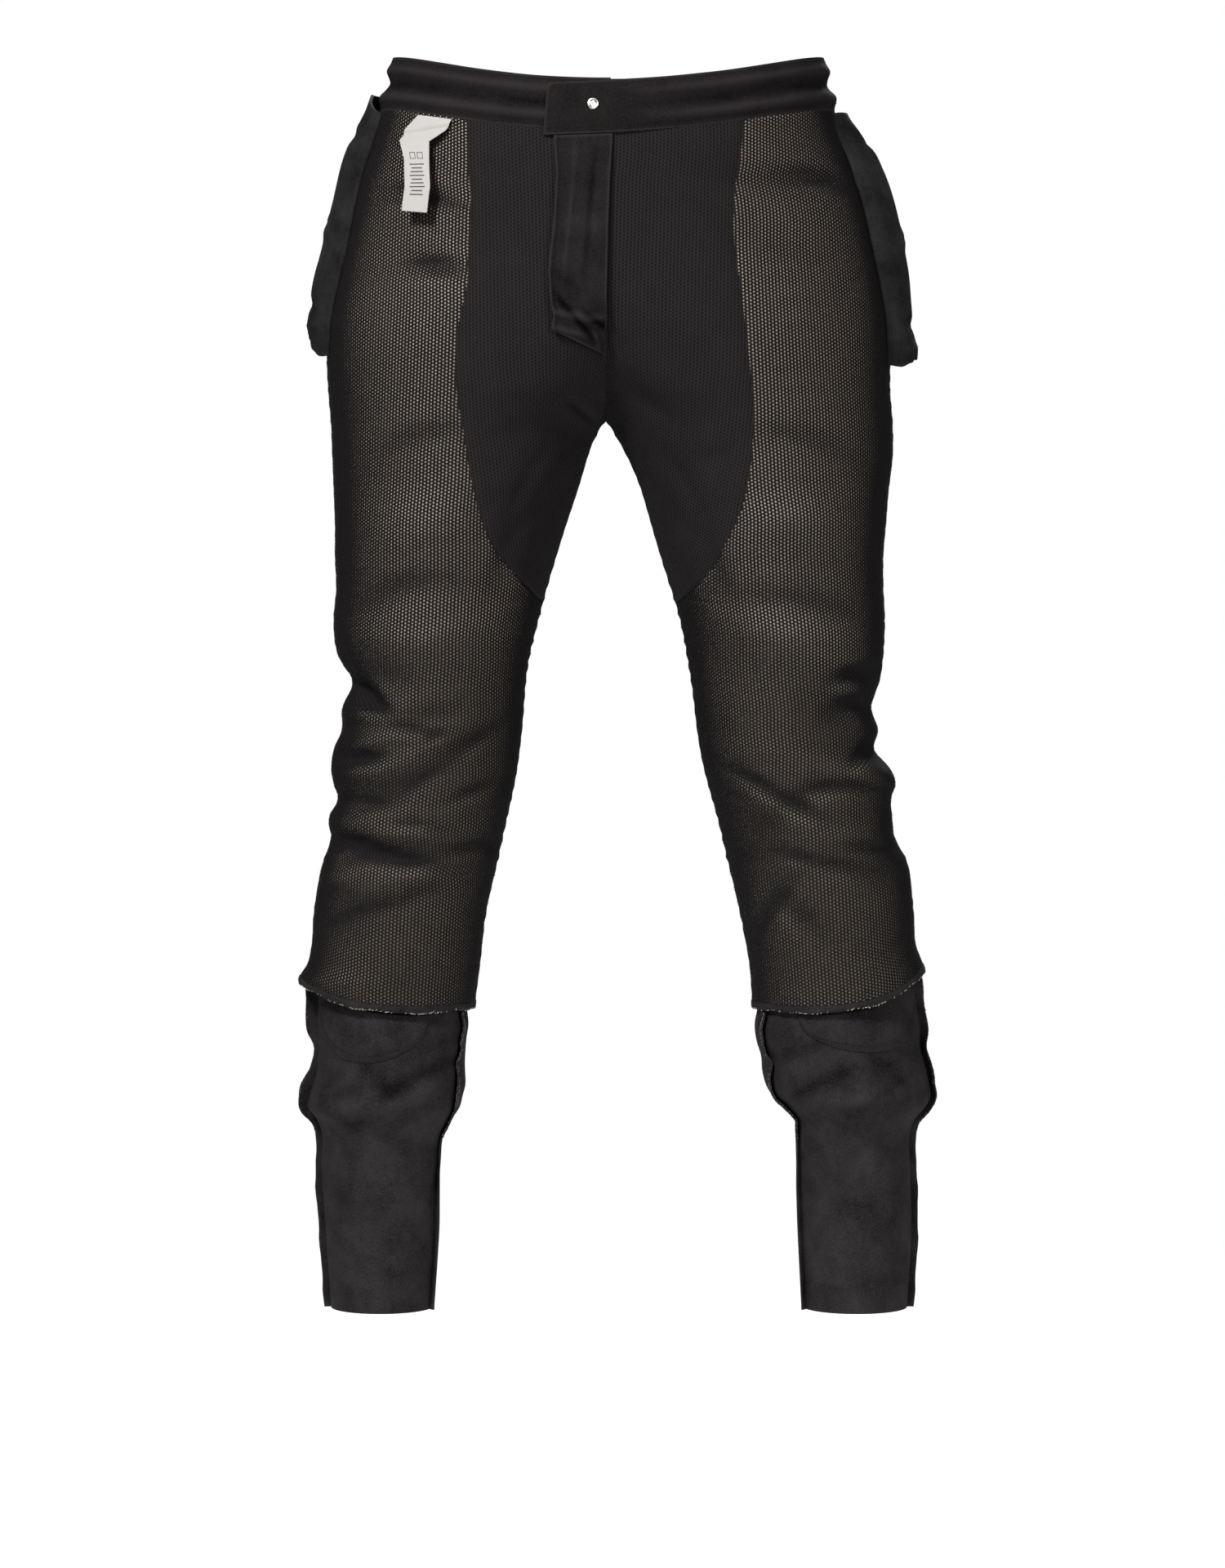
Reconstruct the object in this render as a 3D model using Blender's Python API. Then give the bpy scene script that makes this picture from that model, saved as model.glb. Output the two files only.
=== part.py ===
"""Motorcycle trousers with a mesh lining, worn inside out with the legs apart.

Scene units are metres with +Z up. The front faces -Y and "left" is the -X side, as seen from the front.
The origin is the middle of the waist opening. The tables and functions below work in millimetres, and
each mesh is scaled to metres when it is made.

A place on the cloth is given by a side, a turn and a drop. The turn goes round one leg in degrees: 0 is
the outseam, 90 the front, 180 the inseam, and negative turns go round the back. The drop is how far the
place lies below the origin.
"""

import bmesh
import bpy
import numpy as np

MM = 0.001
SIDES = {"left": -1, "right": 1}

GAP = 0.3
LINED_WALL = 2.6
DENIM_WALL = 1.6
WAISTBAND_WALL = 3.2
HEM_BINDING_WALL = 2.4
POCKET_BAG_WALL = 2.8
LABEL_WALL = 1.0

FORK_DROP = 250
RISE_CURVE_START = 130
RISE_CURVE_POWER = 1.2
HEM_DROP = 700
HEM_BINDING_HEIGHT = 6
HEM_RISE_AT_OUTSEAM = {"left": 19, "right": 28}

WAIST_RIM = {"side": -18, "front": 3, "back": -10}
WAIST_SEAM = {"side": 22.5, "front": 41.5, "back": 30}
WAIST_RIM_POWER = 2.5
WAIST_SEAM_POWER = 3
# The waistband's upper end hangs lower and lies over the under end. Stations are degrees from the front.
UPPER_END_STATION = -14.5
UNDER_END_STATION = 361
FLAP_LEAN = 6
FLAP_LEAN_SPAN = (25, 40)
FLAP_RISE = 3.3
FLAP_RISE_SPAN = (28, 25)
WAISTBAND_OUT = 0.7
WAISTBAND_RIDGE = 1.3


def table(columns, *rows):
    """A small chart with named columns."""
    return dict(zip(columns.split(), np.array(rows, float).T))


# Distance of the side silhouette from the centre line, down to the lining's hem.
OUTER_EDGE = table(
    "drop left right",
    (-18, 161, 165), (0, 163, 167), (14, 168, 171), (34, 174, 175), (69, 186, 190), (97, 193, 198),
    (128, 199, 205), (153, 205, 210), (183, 210, 214), (207, 211, 215), (232, 210, 215), (257, 208, 217),
    (282, 207, 217), (307, 206, 214), (332, 205, 212), (356, 205, 210), (381, 204, 210), (406, 206, 211),
    (431, 203, 210), (452, 193, 208), (472, 200, 201), (489, 200, 206), (503, 206, 203), (518, 208, 215),
    (530, 206, 219), (540, 203, 216), (555, 210, 217), (570, 209, 219), (588, 214, 229), (609, 219, 232),
    (629, 222, 234), (654, 224, 236), (667, 227, 241), (677, 233, 243), (688, 231, 243), (700, 230, 244),
)
# Distance of the inseam from the centre line, from the fork down.
INNER_EDGE = table(
    "drop left right",
    (250, 0, 0), (257, 4, 4), (270, 11, 9), (282, 14, 17), (307, 21, 27), (332, 30, 34), (356, 37, 41),
    (381, 45, 49), (406, 51, 57), (431, 58, 61), (452, 61, 65), (472, 62, 67), (503, 65, 71),
    (530, 69, 77), (555, 75, 85), (588, 82, 92), (609, 87, 98), (629, 92, 102), (654, 94, 107),
    (677, 97, 111), (688, 98, 110), (700, 101, 112),
)
# Depth in front of and behind the line of the side seams, and that line's own place, on a general figure.
LEG_DEPTH = table(
    "drop front back seam_line corner",
    (-18, 108, 106, 0, 0.93), (34, 114, 112, 0, 0.92), (100, 116, 124, 2, 0.92), (180, 114, 134, 3, 0.93),
    (250, 106, 120, 3, 1), (300, 101, 106, 1, 1), (380, 92, 90, -3, 1), (460, 79, 75, -8, 1),
    (540, 74, 74, -6, 1), (620, 71, 77, 0, 1), (700, 68, 73, 4, 1),
)
SHIN_OUTER_EDGE = table(
    "drop left right",
    (655, 213, 229), (672, 217, 233), (702, 219, 237), (714, 219, 239), (731, 219, 239),
    (745, 220, 243), (758, 223, 246), (768, 226, 247), (776, 227, 243), (784, 221, 236),
    (794, 217, 232), (820, 217, 232), (870, 214, 233), (930, 210, 230),
)
SHIN_INNER_EDGE = table(
    "drop left right",
    (655, 106, 116), (690, 106, 116.5), (702, 105.5, 115), (714, 104.5, 113), (724, 106, 114),
    (738, 107, 118), (750, 107, 119), (760, 107, 122), (768, 109, 127), (776, 111, 136),
    (784, 116, 143), (794, 122, 144), (820, 126, 145), (870, 128, 147), (930, 132, 150),
)
SHIN_DEPTH = table(
    "drop front back seam_line corner",
    (655, 58, 63, 4, 1), (690, 60, 65, 4, 1), (702, 61, 66.5, 4, 1), (714, 64, 70, 4, 1),
    (745, 70, 75, 4, 1), (768, 73, 78, 5, 1), (780, 68, 73, 6, 1), (794, 57, 62, 7, 1),
    (820, 54, 59, 8, 1), (870, 49, 55, 9, 1), (930, 45, 50, 10, 1),
)
LEG = {"outer": OUTER_EDGE, "inner": INNER_EDGE, "depth": LEG_DEPTH}
SHIN = {"outer": SHIN_OUTER_EDGE, "inner": SHIN_INNER_EDGE, "depth": SHIN_DEPTH}

# The curved seam between the aramid-backed leg and the crotch piece, as a distance from the centre line.
CROTCH_SEAM = table(
    "drop left right",
    (22, 103, 104), (67, 102, 99), (97, 100, 95), (132, 102, 96), (156, 103, 100), (184, 109, 103),
    (218, 111, 107), (237, 110, 109), (265, 105, 109), (297, 100, 106), (322, 94, 100), (346, 85, 89),
    (362, 74, 80), (381, 57, 65), (392, 47.5, 53.5),
)
CROTCH_PIECE_END = 392

# Soft folds in the cloth: a negative depth is a trough. The slope is that of the fold's line, in degrees.
FOLDS = table(
    "side turn drop slope length width depth",
    (-1, 30, 462, 12, 32, 9, -5), (-1, 85, 478, -8, 26, 9, -3), (-1, 60, 492, -14, 30, 10, 3.5),
    (-1, 110, 500, -22, 46, 9, -4), (-1, 80, 528, -18, 44, 10, -3), (-1, 75, 578, 4, 60, 10, -4),
    (-1, 40, 600, 8, 36, 10, 3), (-1, 60, 636, -10, 40, 10, -3), (-1, 70, 340, -20, 50, 16, 2.5),
    (1, 30, 450, -10, 30, 9, -4), (1, 50, 472, 14, 26, 9, -4), (1, 100, 545, 30, 44, 10, -4),
    (1, 40, 520, -6, 34, 10, 4), (1, 50, 590, 2, 50, 10, -4), (1, 110, 628, -40, 30, 10, -3.5),
    (1, 60, 566, 10, 40, 9, 3), (1, 40, 76, 6, 34, 10, -3.5), (1, 80, 330, 20, 50, 16, 2.5),
    (-1, -60, 455, 10, 55, 10, -5), (-1, -100, 480, -12, 50, 11, -5), (-1, -80, 506, 6, 50, 10, 4),
    (-1, -110, 255, 24, 60, 12, -4), (-1, -90, 290, 18, 50, 12, -3.5), (-1, -70, 600, -8, 50, 11, -4),
    (1, -60, 460, -10, 55, 10, -5), (1, -100, 486, 10, 50, 11, -5), (1, -80, 512, -8, 50, 10, 4),
    (1, -110, 258, -22, 60, 12, -4), (1, -85, 296, -18, 50, 12, -3.5), (1, -70, 610, 8, 50, 11, -4),
)
FOLD_RADIUS = 75

# Rows of the lined panels, shared by every panel that meets at a seam.
TOP_LEVEL = 30
HEM_LEVEL = HEM_DROP - HEM_BINDING_HEIGHT
TOP_SLANT_SPAN = 100
HEM_SLANT_SPAN = 104
SHIN_SLANT_SPAN = 50
LEVELS = np.array([
    30, 50, 72, 97, 124, 152, 180, 206, 228, 242, 250, 259, 272, 288, 306, 326, 346, 364, 379, 392, 410,
    426, 440, 452, 464, 476, 490, 504, 516, 528, 541, 556, 572, 590, 612, 636, 660, 680, 694,
], float)
SHIN_LEVELS = np.array([
    680, 702, 714, 727, 740, 752, 762, 770, 777, 785, 795, 812, 850, 890, 930,
], float)

FLY_SHIELD = table(
    "drop slope left right out",
    (46, -1.5, -38, 5, 3), (75, 0, -36, 3, 5), (110, 2, -38, 1.5, 6), (145, 6, -42, 1, 6.5),
    (165, 10, -41, 1, 7), (178, 14, -39, 0.5, 6), (188, 17, -40.5, 0, 5),
)
FLY_SHIELD_WALL = 2.6
FLY_SHIELD_COLUMNS = 6

BUTTON_PLACE = {"across": -7.2, "drop": 23}
BUTTON_PROFILE = table("radius rise", (4.3, 0), (4.3, 0.7), (3.9, 1.15), (3, 1.3), (2.6, 1), (0, 1))
BUTTON_SIDES = 20

CARE_LABEL = table(
    "drop slope left right out",
    (26.5, 4, -140, -115, 2.5), (38, 2, -150, -121, 5), (46, 1, -154, -133, 8), (60, 0, -152, -134, 10),
    (79, 0, -152, -134, 12), (94, 1.5, -154, -137, 13),
)
CARE_LABEL_COLUMNS = 3

# How far the hanging pocket bags stand off the hips.
POCKET_BAG = table(
    "drop left right",
    (0, 8, 6), (24, 9, 7), (38, 12, 12), (60, 12.5, 17), (85, 11.5, 19), (112, 12, 19), (144, 14, 18),
    (178, 14, 16), (195, 14.5, 18), (206, 14.5, 22), (215, 14, 22),
)
POCKET_BAG_TURNS = (13, -52)
POCKET_BAG_TOP = {"left": 12, "right": 25}
POCKET_BAG_END = {"left": (206, 192), "right": (213, 207)}
POCKET_BAG_CORNER_SHARE = 0.25
POCKET_BAG_TUCK = 0.12
POCKET_BAG_FRONT_OUT = 0.45
POCKET_BAG_ROWS = 12
POCKET_BAG_COLUMNS = 9

KNEE_POCKET_FOOT = {"left": 737, "right": 729}
KNEE_POCKET_TURN = 68
KNEE_POCKET_HALF_TURN = 52
KNEE_POCKET_WALL = 1.0
KNEE_POCKET_OUT = 0.8
KNEE_POCKET_COLUMNS = 10
KNEE_POCKET_ROWS = 3

# Seam allowances below the hem. The lean is the flange's angle from straight out, positive to the front.
OUTSEAM_ALLOWANCE = table(
    "drop width_left lean_left width_right lean_right",
    (692, 9.5, 6, 6, -10), (712, 9.5, -8, 6, 20), (731, 7, -72, 7, 58), (748, 6, -40, 8, 62),
    (762, 8, 5, 8, 66), (774, 7, 20, 6, 50), (790, 5, 10, 5, 0), (840, 5, 0, 5, 0), (925, 5, 0, 5, 0),
)
INSEAM_ALLOWANCE = table(
    "drop width_left lean_left width_right lean_right",
    (702, 9, 72, 12, 76), (718, 9, 76, 13, 80), (738, 12, 80, 15, 82), (752, 15, 84, 13, 80),
    (764, 16, 82, 9, 76), (774, 11, 78, 8, 74), (790, 5, 60, 5, 60), (840, 5, 40, 5, 40),
    (925, 5, 40, 5, 40),
)
OUTSEAM_TURN = 0
INSEAM_TURN = 160
ALLOWANCE_WALL = 2.0
ALLOWANCE_START = 0.5

LINED_COLUMNS = 10
CROTCH_COLUMNS = 6
BACK_COLUMNS = 8
SHIN_TOP_GAP = 0.4
WAISTBAND_STATIONS = 48
WAISTBAND_ROWS = 8

# Colour, roughness and metallic value of each finish.
FINISHES = {
    "denim": ((0.014, 0.013, 0.014), 0.88, 0),
    "lined_mesh": ((0.045, 0.040, 0.034), 0.8, 0),
    "crotch_mesh": ((0.024, 0.022, 0.023), 0.8, 0),
    "pocket_cloth": ((0.017, 0.017, 0.018), 0.85, 0),
    "label_satin": ((0.72, 0.71, 0.72), 0.5, 0),
    "button_metal": ((0.78, 0.76, 0.72), 0.3, 1),
}


def read(chart, column, drop):
    """One column of a chart at a drop, on a smooth curve through its rows."""
    at_rows, values = chart["drop"], chart[column]
    slopes = np.gradient(values, at_rows)
    drop = np.clip(drop, at_rows[0], at_rows[-1])
    row = np.clip(np.searchsorted(at_rows, drop) - 1, 0, len(at_rows) - 2)
    step = at_rows[row + 1] - at_rows[row]
    share = (drop - at_rows[row]) / step
    rest = 1 - share
    return (
        (1 + 2 * share) * rest**2 * values[row]
        + share * rest**2 * step * slopes[row]
        + (3 - 2 * share) * share**2 * values[row + 1]
        - share**2 * rest * step * slopes[row + 1]
    )


def signed_power(value, power):
    return np.sign(value) * np.abs(value) ** power


def section(part, side, drop):
    """Centre, half width, front and back depth, seam line and corner power of one leg's ring."""
    outer = read(part["outer"], side, drop)
    inner = read(part["inner"], side, drop)
    if part is LEG:
        share = np.clip((drop - RISE_CURVE_START) / (FORK_DROP - RISE_CURVE_START), 0, 1)
        joined = share**RISE_CURVE_POWER
        inner = np.where(drop < FORK_DROP, outer * (joined - 1) / (joined + 1), inner)
    depths = [read(part["depth"], column, drop) for column in ("front", "back", "seam_line", "corner")]
    return (outer + inner) / 2, (outer - inner) / 2, *depths


def fold_height(side, turn, drop):
    """How far the folds lift the cloth, or sink it."""
    height = np.zeros(np.broadcast(turn, drop).shape)
    for fold in zip(*FOLDS.values()):
        fold_side, fold_turn, fold_drop, slope, length, width, depth = fold
        if fold_side != SIDES[side]:
            continue
        across = np.radians(turn - fold_turn) * FOLD_RADIUS
        down = drop - fold_drop
        tilt = np.radians(slope)
        along = across * np.cos(tilt) + down * np.sin(tilt)
        off = down * np.cos(tilt) - across * np.sin(tilt)
        height += depth * np.exp(-((along / length) ** 2) - (off / width) ** 2)
    return height


def cloth_point(part, side, turn, drop):
    """The point on the cloth's outside at a turn and a drop."""
    centre, half_width, front, back, seam_line, corner = section(part, side, drop)
    angle = np.radians(turn)
    depth = np.where(np.sin(angle) > 0, front, back)
    lift = fold_height(side, turn, drop) if part is LEG else 0
    x = SIDES[side] * (centre + half_width * signed_power(np.cos(angle), corner) + lift * np.cos(angle))
    y = seam_line - depth * signed_power(np.sin(angle), corner) - lift * np.sin(angle)
    return np.stack(np.broadcast_arrays(x, y, -drop), axis=-1)


def cloth_normal(part, side, turn, drop):
    """The direction straight out of the cloth."""
    round_step, down_step = 0.5, 1.0
    here, there = (cloth_point(part, side, turn + step, drop) for step in (-round_step, round_step))
    above, below = (cloth_point(part, side, turn, drop + step) for step in (-down_step, down_step))
    normal = np.cross(below - above, there - here) * -SIDES[side]
    return normal / np.linalg.norm(normal, axis=-1, keepdims=True)


def cloth(part, side, turn, drop, out=0.0):
    """Points on the cloth, moved out of it by a distance."""
    turn, drop = np.broadcast_arrays(np.asarray(turn, float), np.asarray(drop, float))
    lift = np.broadcast_to(out, turn.shape)[..., None]
    return cloth_point(part, side, turn, drop) + cloth_normal(part, side, turn, drop) * lift


def turn_at(part, side, distance, drop):
    """The turn of a place on the front that is a distance from the centre line."""
    centre, half_width, _, _, _, corner = section(part, side, drop)
    cosine = signed_power((distance - centre) / half_width, 1 / corner)
    return np.degrees(np.arccos(np.clip(cosine, -1, 1)))


def front_point(part, x, drop, out):
    """A point on the front at an x, moved out of the cloth."""
    side = "left" if x < 0 else "right"
    return cloth(part, side, turn_at(part, side, abs(x), drop), drop, out)


def half_gap_turn(part, side, drop, turn):
    """Half a seam gap as a turn."""
    _, half_width, front, _, _, _ = section(part, side, drop)
    angle = np.radians(turn)
    return np.degrees(GAP / 2 / np.hypot(half_width * np.sin(angle), front * np.cos(angle)))


def inner_turn(side, drop):
    """Where a leg panel ends: on the centre line above the fork, and at the inseam below it."""
    on_centre = turn_at(LEG, side, GAP / 2, drop)
    return np.minimum(on_centre, 180 - half_gap_turn(LEG, side, drop, 180))


def crotch_turn(side, drop):
    """The turn of the curved crotch seam."""
    return turn_at(LEG, side, read(CROTCH_SEAM, side, drop), drop)


def flap_lean(side, turn):
    """How far the waistband hangs below its own line near its upper end, at the front."""
    station = (90 - np.asarray(turn, float)) * SIDES[side]
    start, span = FLAP_LEAN_SPAN
    return FLAP_LEAN * np.clip((start - station) / span, 0, 1) ** 2


def around(line, turn, power):
    """A drop that changes from the sides to the front and the back."""
    angle = np.radians(turn)
    middle = np.where(np.sin(angle) > 0, line["front"], line["back"])
    return line["side"] + (middle - line["side"]) * np.abs(np.sin(angle)) ** power


def panel_top(side, turn):
    """The drop of the lined panels' top edge, just under the waistband."""
    lean = flap_lean(side, turn) if side == "right" else 0
    return around(WAIST_SEAM, turn, WAIST_SEAM_POWER) + lean * (np.asarray(turn) > 0) + GAP


def shin_drop(side, turn, level):
    """The drop of a level of the shin, whose upper rows follow the lining's hem."""
    near_hem = np.clip(1 - (level - SHIN_LEVELS[1]) / SHIN_SLANT_SPAN, 0, 1)
    return level + near_hem * (hem_edge(side, turn) - HEM_DROP)


def hem_edge(side, turn):
    """The drop of the lining's hem, which rises at the outseam."""
    share = (1 + np.cos(np.radians(turn))) / 2
    return HEM_DROP - HEM_RISE_AT_OUTSEAM[side] * share**4


def level_drop(side, turn, level):
    """The drop of a level: the upper rows follow the waistband and the lowest ones the hem."""
    near_top = np.clip(1 - (level - TOP_LEVEL) / TOP_SLANT_SPAN, 0, 1)
    near_hem = np.clip(1 - (HEM_LEVEL - level) / HEM_SLANT_SPAN, 0, 1)
    return (
        level
        + near_top * (panel_top(side, turn) - TOP_LEVEL)
        + near_hem * (hem_edge(side, turn) - HEM_DROP)
    )


def edge_on_level(side, level, edge):
    """The turn at which a level meets an edge that is given by its drop."""
    turn = edge(side, level)
    for _ in range(3):
        turn = edge(side, level_drop(side, turn, level))
    return turn


def make_solid(name, finish, mesh_faces, points):
    """One closed solid from points in millimetres."""
    mesh = bpy.data.meshes.new(name)
    body = bmesh.new()
    corners = [body.verts.new(point) for point in np.asarray(points).reshape(-1, 3) * MM]
    for face in mesh_faces:
        body.faces.new([corners[index] for index in face])
    bmesh.ops.recalc_face_normals(body, faces=body.faces)
    if body.calc_volume(signed=True) < 0:
        bmesh.ops.reverse_faces(body, faces=body.faces)
    body.to_mesh(mesh)
    body.free()
    mesh.shade_smooth()
    mesh.set_sharp_from_angle(angle=np.radians(50))
    mesh.materials.append(finish)
    solid = bpy.data.objects.new(name, mesh)
    bpy.context.scene.collection.objects.link(solid)
    return solid


def wall(name, finish, outside, inside, closed_ring=False):
    """A cloth wall between two grids of points, shaped rows by columns."""
    rows, columns, _ = outside.shape
    layer = rows * columns
    spans = columns if closed_ring else columns - 1

    def at(row, column, deep):
        return deep * layer + row * columns + column % columns

    faces = []
    for row in range(rows - 1):
        for column in range(spans):
            for deep in (0, 1):
                faces.append((
                    at(row, column, deep), at(row, column + 1, deep),
                    at(row + 1, column + 1, deep), at(row + 1, column, deep),
                ))
    for row in (0, rows - 1):
        for column in range(spans):
            faces.append((
                at(row, column, 0), at(row, column + 1, 0), at(row, column + 1, 1), at(row, column, 1),
            ))
    if not closed_ring:
        for column in (0, columns - 1):
            for row in range(rows - 1):
                faces.append((
                    at(row, column, 0), at(row + 1, column, 0), at(row + 1, column, 1), at(row, column, 1),
                ))
    return make_solid(name, finish, faces, np.concatenate([outside.reshape(-1, 3), inside.reshape(-1, 3)]))


def lined_panel(name, finish, side, levels, first_turn, last_turn, columns):
    """A panel of the lined leg between two edges, each a turn for every level."""
    shares = np.linspace(0, 1, columns + 1)
    turns = first_turn[:, None] * (1 - shares) + last_turn[:, None] * shares
    drops = level_drop(side, turns, levels[:, None])
    outside = cloth(LEG, side, turns, drops)
    inside = cloth(LEG, side, turns, drops, -LINED_WALL)
    return wall(name, finish, outside, inside)


def make_lined_legs(finishes):
    for side in SIDES:
        inner = np.array([edge_on_level(side, level, inner_turn) for level in LEVELS])
        outseam = half_gap_turn(LEG, side, LEVELS, 0)
        crotch_levels = LEVELS[LEVELS <= CROTCH_PIECE_END]
        seam = np.array([edge_on_level(side, level, crotch_turn) for level in crotch_levels])
        seam_gap = half_gap_turn(LEG, side, crotch_levels, seam)
        crotch_rows = len(crotch_levels)
        front_end = inner.copy()
        front_end[:crotch_rows] = np.minimum(seam - seam_gap, inner[:crotch_rows])
        mesh = finishes["lined_mesh"]
        lined_panel(f"front_lining_{side}", mesh, side, LEVELS, outseam, front_end, LINED_COLUMNS)
        lined_panel(f"back_lining_{side}", mesh, side, LEVELS, -outseam, -inner, BACK_COLUMNS)
        lined_panel(
            f"front_crotch_{side}", finishes["crotch_mesh"], side, crotch_levels,
            seam + seam_gap, inner[:crotch_rows], CROTCH_COLUMNS,
        )


def make_hem_bindings(finishes):
    front = np.linspace(0, 180, LINED_COLUMNS + 1)
    back = np.linspace(-180, 0, BACK_COLUMNS + 1)[1:-1]
    turns = np.concatenate([front, back])
    for side in SIDES:
        edge = hem_edge(side, turns)
        drops = np.stack([edge - HEM_BINDING_HEIGHT + 2 * GAP, edge - HEM_BINDING_HEIGHT / 2, edge])
        outside = cloth(LEG, side, turns, drops, [[0.2], [0.6], [0.3]])
        inside = cloth(LEG, side, turns, drops, 0.2 - HEM_BINDING_WALL)
        wall(f"lining_hem_{side}", finishes["denim"], outside, inside, closed_ring=True)


def make_shins(finishes):
    for side in SIDES:
        for face, sign, columns in (("front", 1, LINED_COLUMNS), ("back", -1, BACK_COLUMNS)):
            start = half_gap_turn(SHIN, side, SHIN_LEVELS, 0)[:, None]
            shares = np.linspace(0, 1, columns + 1)
            turns = sign * (start * (1 - shares) + (180 - start) * shares)
            drops = shin_drop(side, turns, SHIN_LEVELS[:, None])
            drops[0] = level_drop(side, turns[0], SHIN_LEVELS[0])
            outside = cloth(SHIN, side, turns, drops)
            inside = cloth(SHIN, side, turns, drops, -DENIM_WALL)
            under_lining = -LINED_WALL - SHIN_TOP_GAP
            outside[0] = cloth(LEG, side, turns[0], drops[0], under_lining)
            inside[0] = cloth(LEG, side, turns[0], drops[0], under_lining - DENIM_WALL)
            wall(f"shin_{face}_{side}", finishes["denim"], outside, inside)


def make_knee_pockets(finishes):
    shares = np.linspace(-0.985, 0.985, KNEE_POCKET_COLUMNS + 1)
    rows = np.linspace(0, 1, KNEE_POCKET_ROWS + 1)[:, None]
    for side, foot in KNEE_POCKET_FOOT.items():
        turns = KNEE_POCKET_TURN + KNEE_POCKET_HALF_TURN * shares
        top = shin_drop(side, turns, SHIN_LEVELS[1])
        drops = top + rows * (foot - top) * np.sqrt(1 - shares**2)
        outside = cloth(SHIN, side, turns, drops, KNEE_POCKET_OUT + KNEE_POCKET_WALL)
        inside = cloth(SHIN, side, turns, drops, KNEE_POCKET_OUT)
        wall(f"knee_pocket_{side}", finishes["denim"], outside, inside)


def make_allowance(name, finish, side, turn, chart):
    """A seam allowance that stands out of the shin along one seam, and leans to and fro."""
    drops = shin_drop(side, turn, SHIN_LEVELS[1:])
    drops[0] += ALLOWANCE_START
    width = read(chart, f"width_{side}", drops)[:, None]
    lean = np.radians(read(chart, f"lean_{side}", drops))[:, None]
    out = cloth_normal(SHIN, side, np.full(drops.shape, float(turn)), drops)
    forward = cloth_point(SHIN, side, turn + 1, drops) - cloth_point(SHIN, side, turn - 1, drops)
    forward *= -np.sign(forward[:, 1:2]) / np.linalg.norm(forward, axis=1, keepdims=True)
    way = out * np.cos(lean) + forward * np.sin(lean)
    aside = forward * np.cos(lean) - out * np.sin(lean)
    half = ALLOWANCE_WALL / 2
    root = cloth(SHIN, side, turn, drops, GAP + 0.1) + out * np.abs(np.sin(lean)) * half
    outside = np.stack([root + aside * half, root + way * width + aside * half * 0.7], axis=1)
    inside = np.stack([root - aside * half, root + way * width - aside * half * 0.7], axis=1)
    wall(name, finish, outside, inside)


def make_allowances(finishes):
    for side in SIDES:
        make_allowance(f"outseam_{side}", finishes["denim"], side, OUTSEAM_TURN, OUTSEAM_ALLOWANCE)
        make_allowance(f"inseam_{side}", finishes["denim"], side, INSEAM_TURN, INSEAM_ALLOWANCE)


def band_point(station, share, out):
    """A point of the waistband: stations run from its upper end round by the right to its under end."""
    lap = station > 180
    side = "left" if lap or station < 0 else "right"
    turn = 90 - abs(station - 360 * lap)
    if station > 360:
        side, turn = "right", 90 - (station - 360)
    lean = 0 if lap else flap_lean("right", 90 - station)
    rim, seam = around(WAIST_RIM, turn, WAIST_RIM_POWER), around(WAIST_SEAM, turn, WAIST_SEAM_POWER)
    start, span = FLAP_RISE_SPAN
    flap = 0 if lap else np.clip((start - station) / span, 0, 1) ** 2
    ridges = WAISTBAND_RIDGE * np.sin(2 * np.pi * share) ** 2 * (1 - flap)
    raised = WAISTBAND_OUT + FLAP_RISE * flap
    drop = rim * (1 - share) + seam * share + lean
    return cloth(LEG, side, turn, drop, raised + (ridges if out else -WAISTBAND_WALL))


def make_waistband(finishes):
    stations = np.linspace(UPPER_END_STATION, UNDER_END_STATION, WAISTBAND_STATIONS + 1)
    shares = np.linspace(0, 1, WAISTBAND_ROWS + 1)
    grids = [
        np.array([[band_point(station, share, out) for station in stations] for share in shares])
        for out in (True, False)
    ]
    wall("waistband", finishes["denim"], *grids)


def hanging_strip(name, finish, chart, columns, thickness):
    """A strip that hangs on the front between a left and a right edge, at a distance from the cloth."""
    outside, inside = [], []
    for drop, slope, left, right, out in zip(*chart.values()):
        shares = np.linspace(0, 1, columns + 1)
        places = [(left * (1 - share) + right * share, drop + slope * share) for share in shares]
        outside.append([front_point(LEG, *place, out) for place in places])
        inside.append([front_point(LEG, *place, out - thickness) for place in places])
    return wall(name, finish, np.array(outside), np.array(inside))


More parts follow.
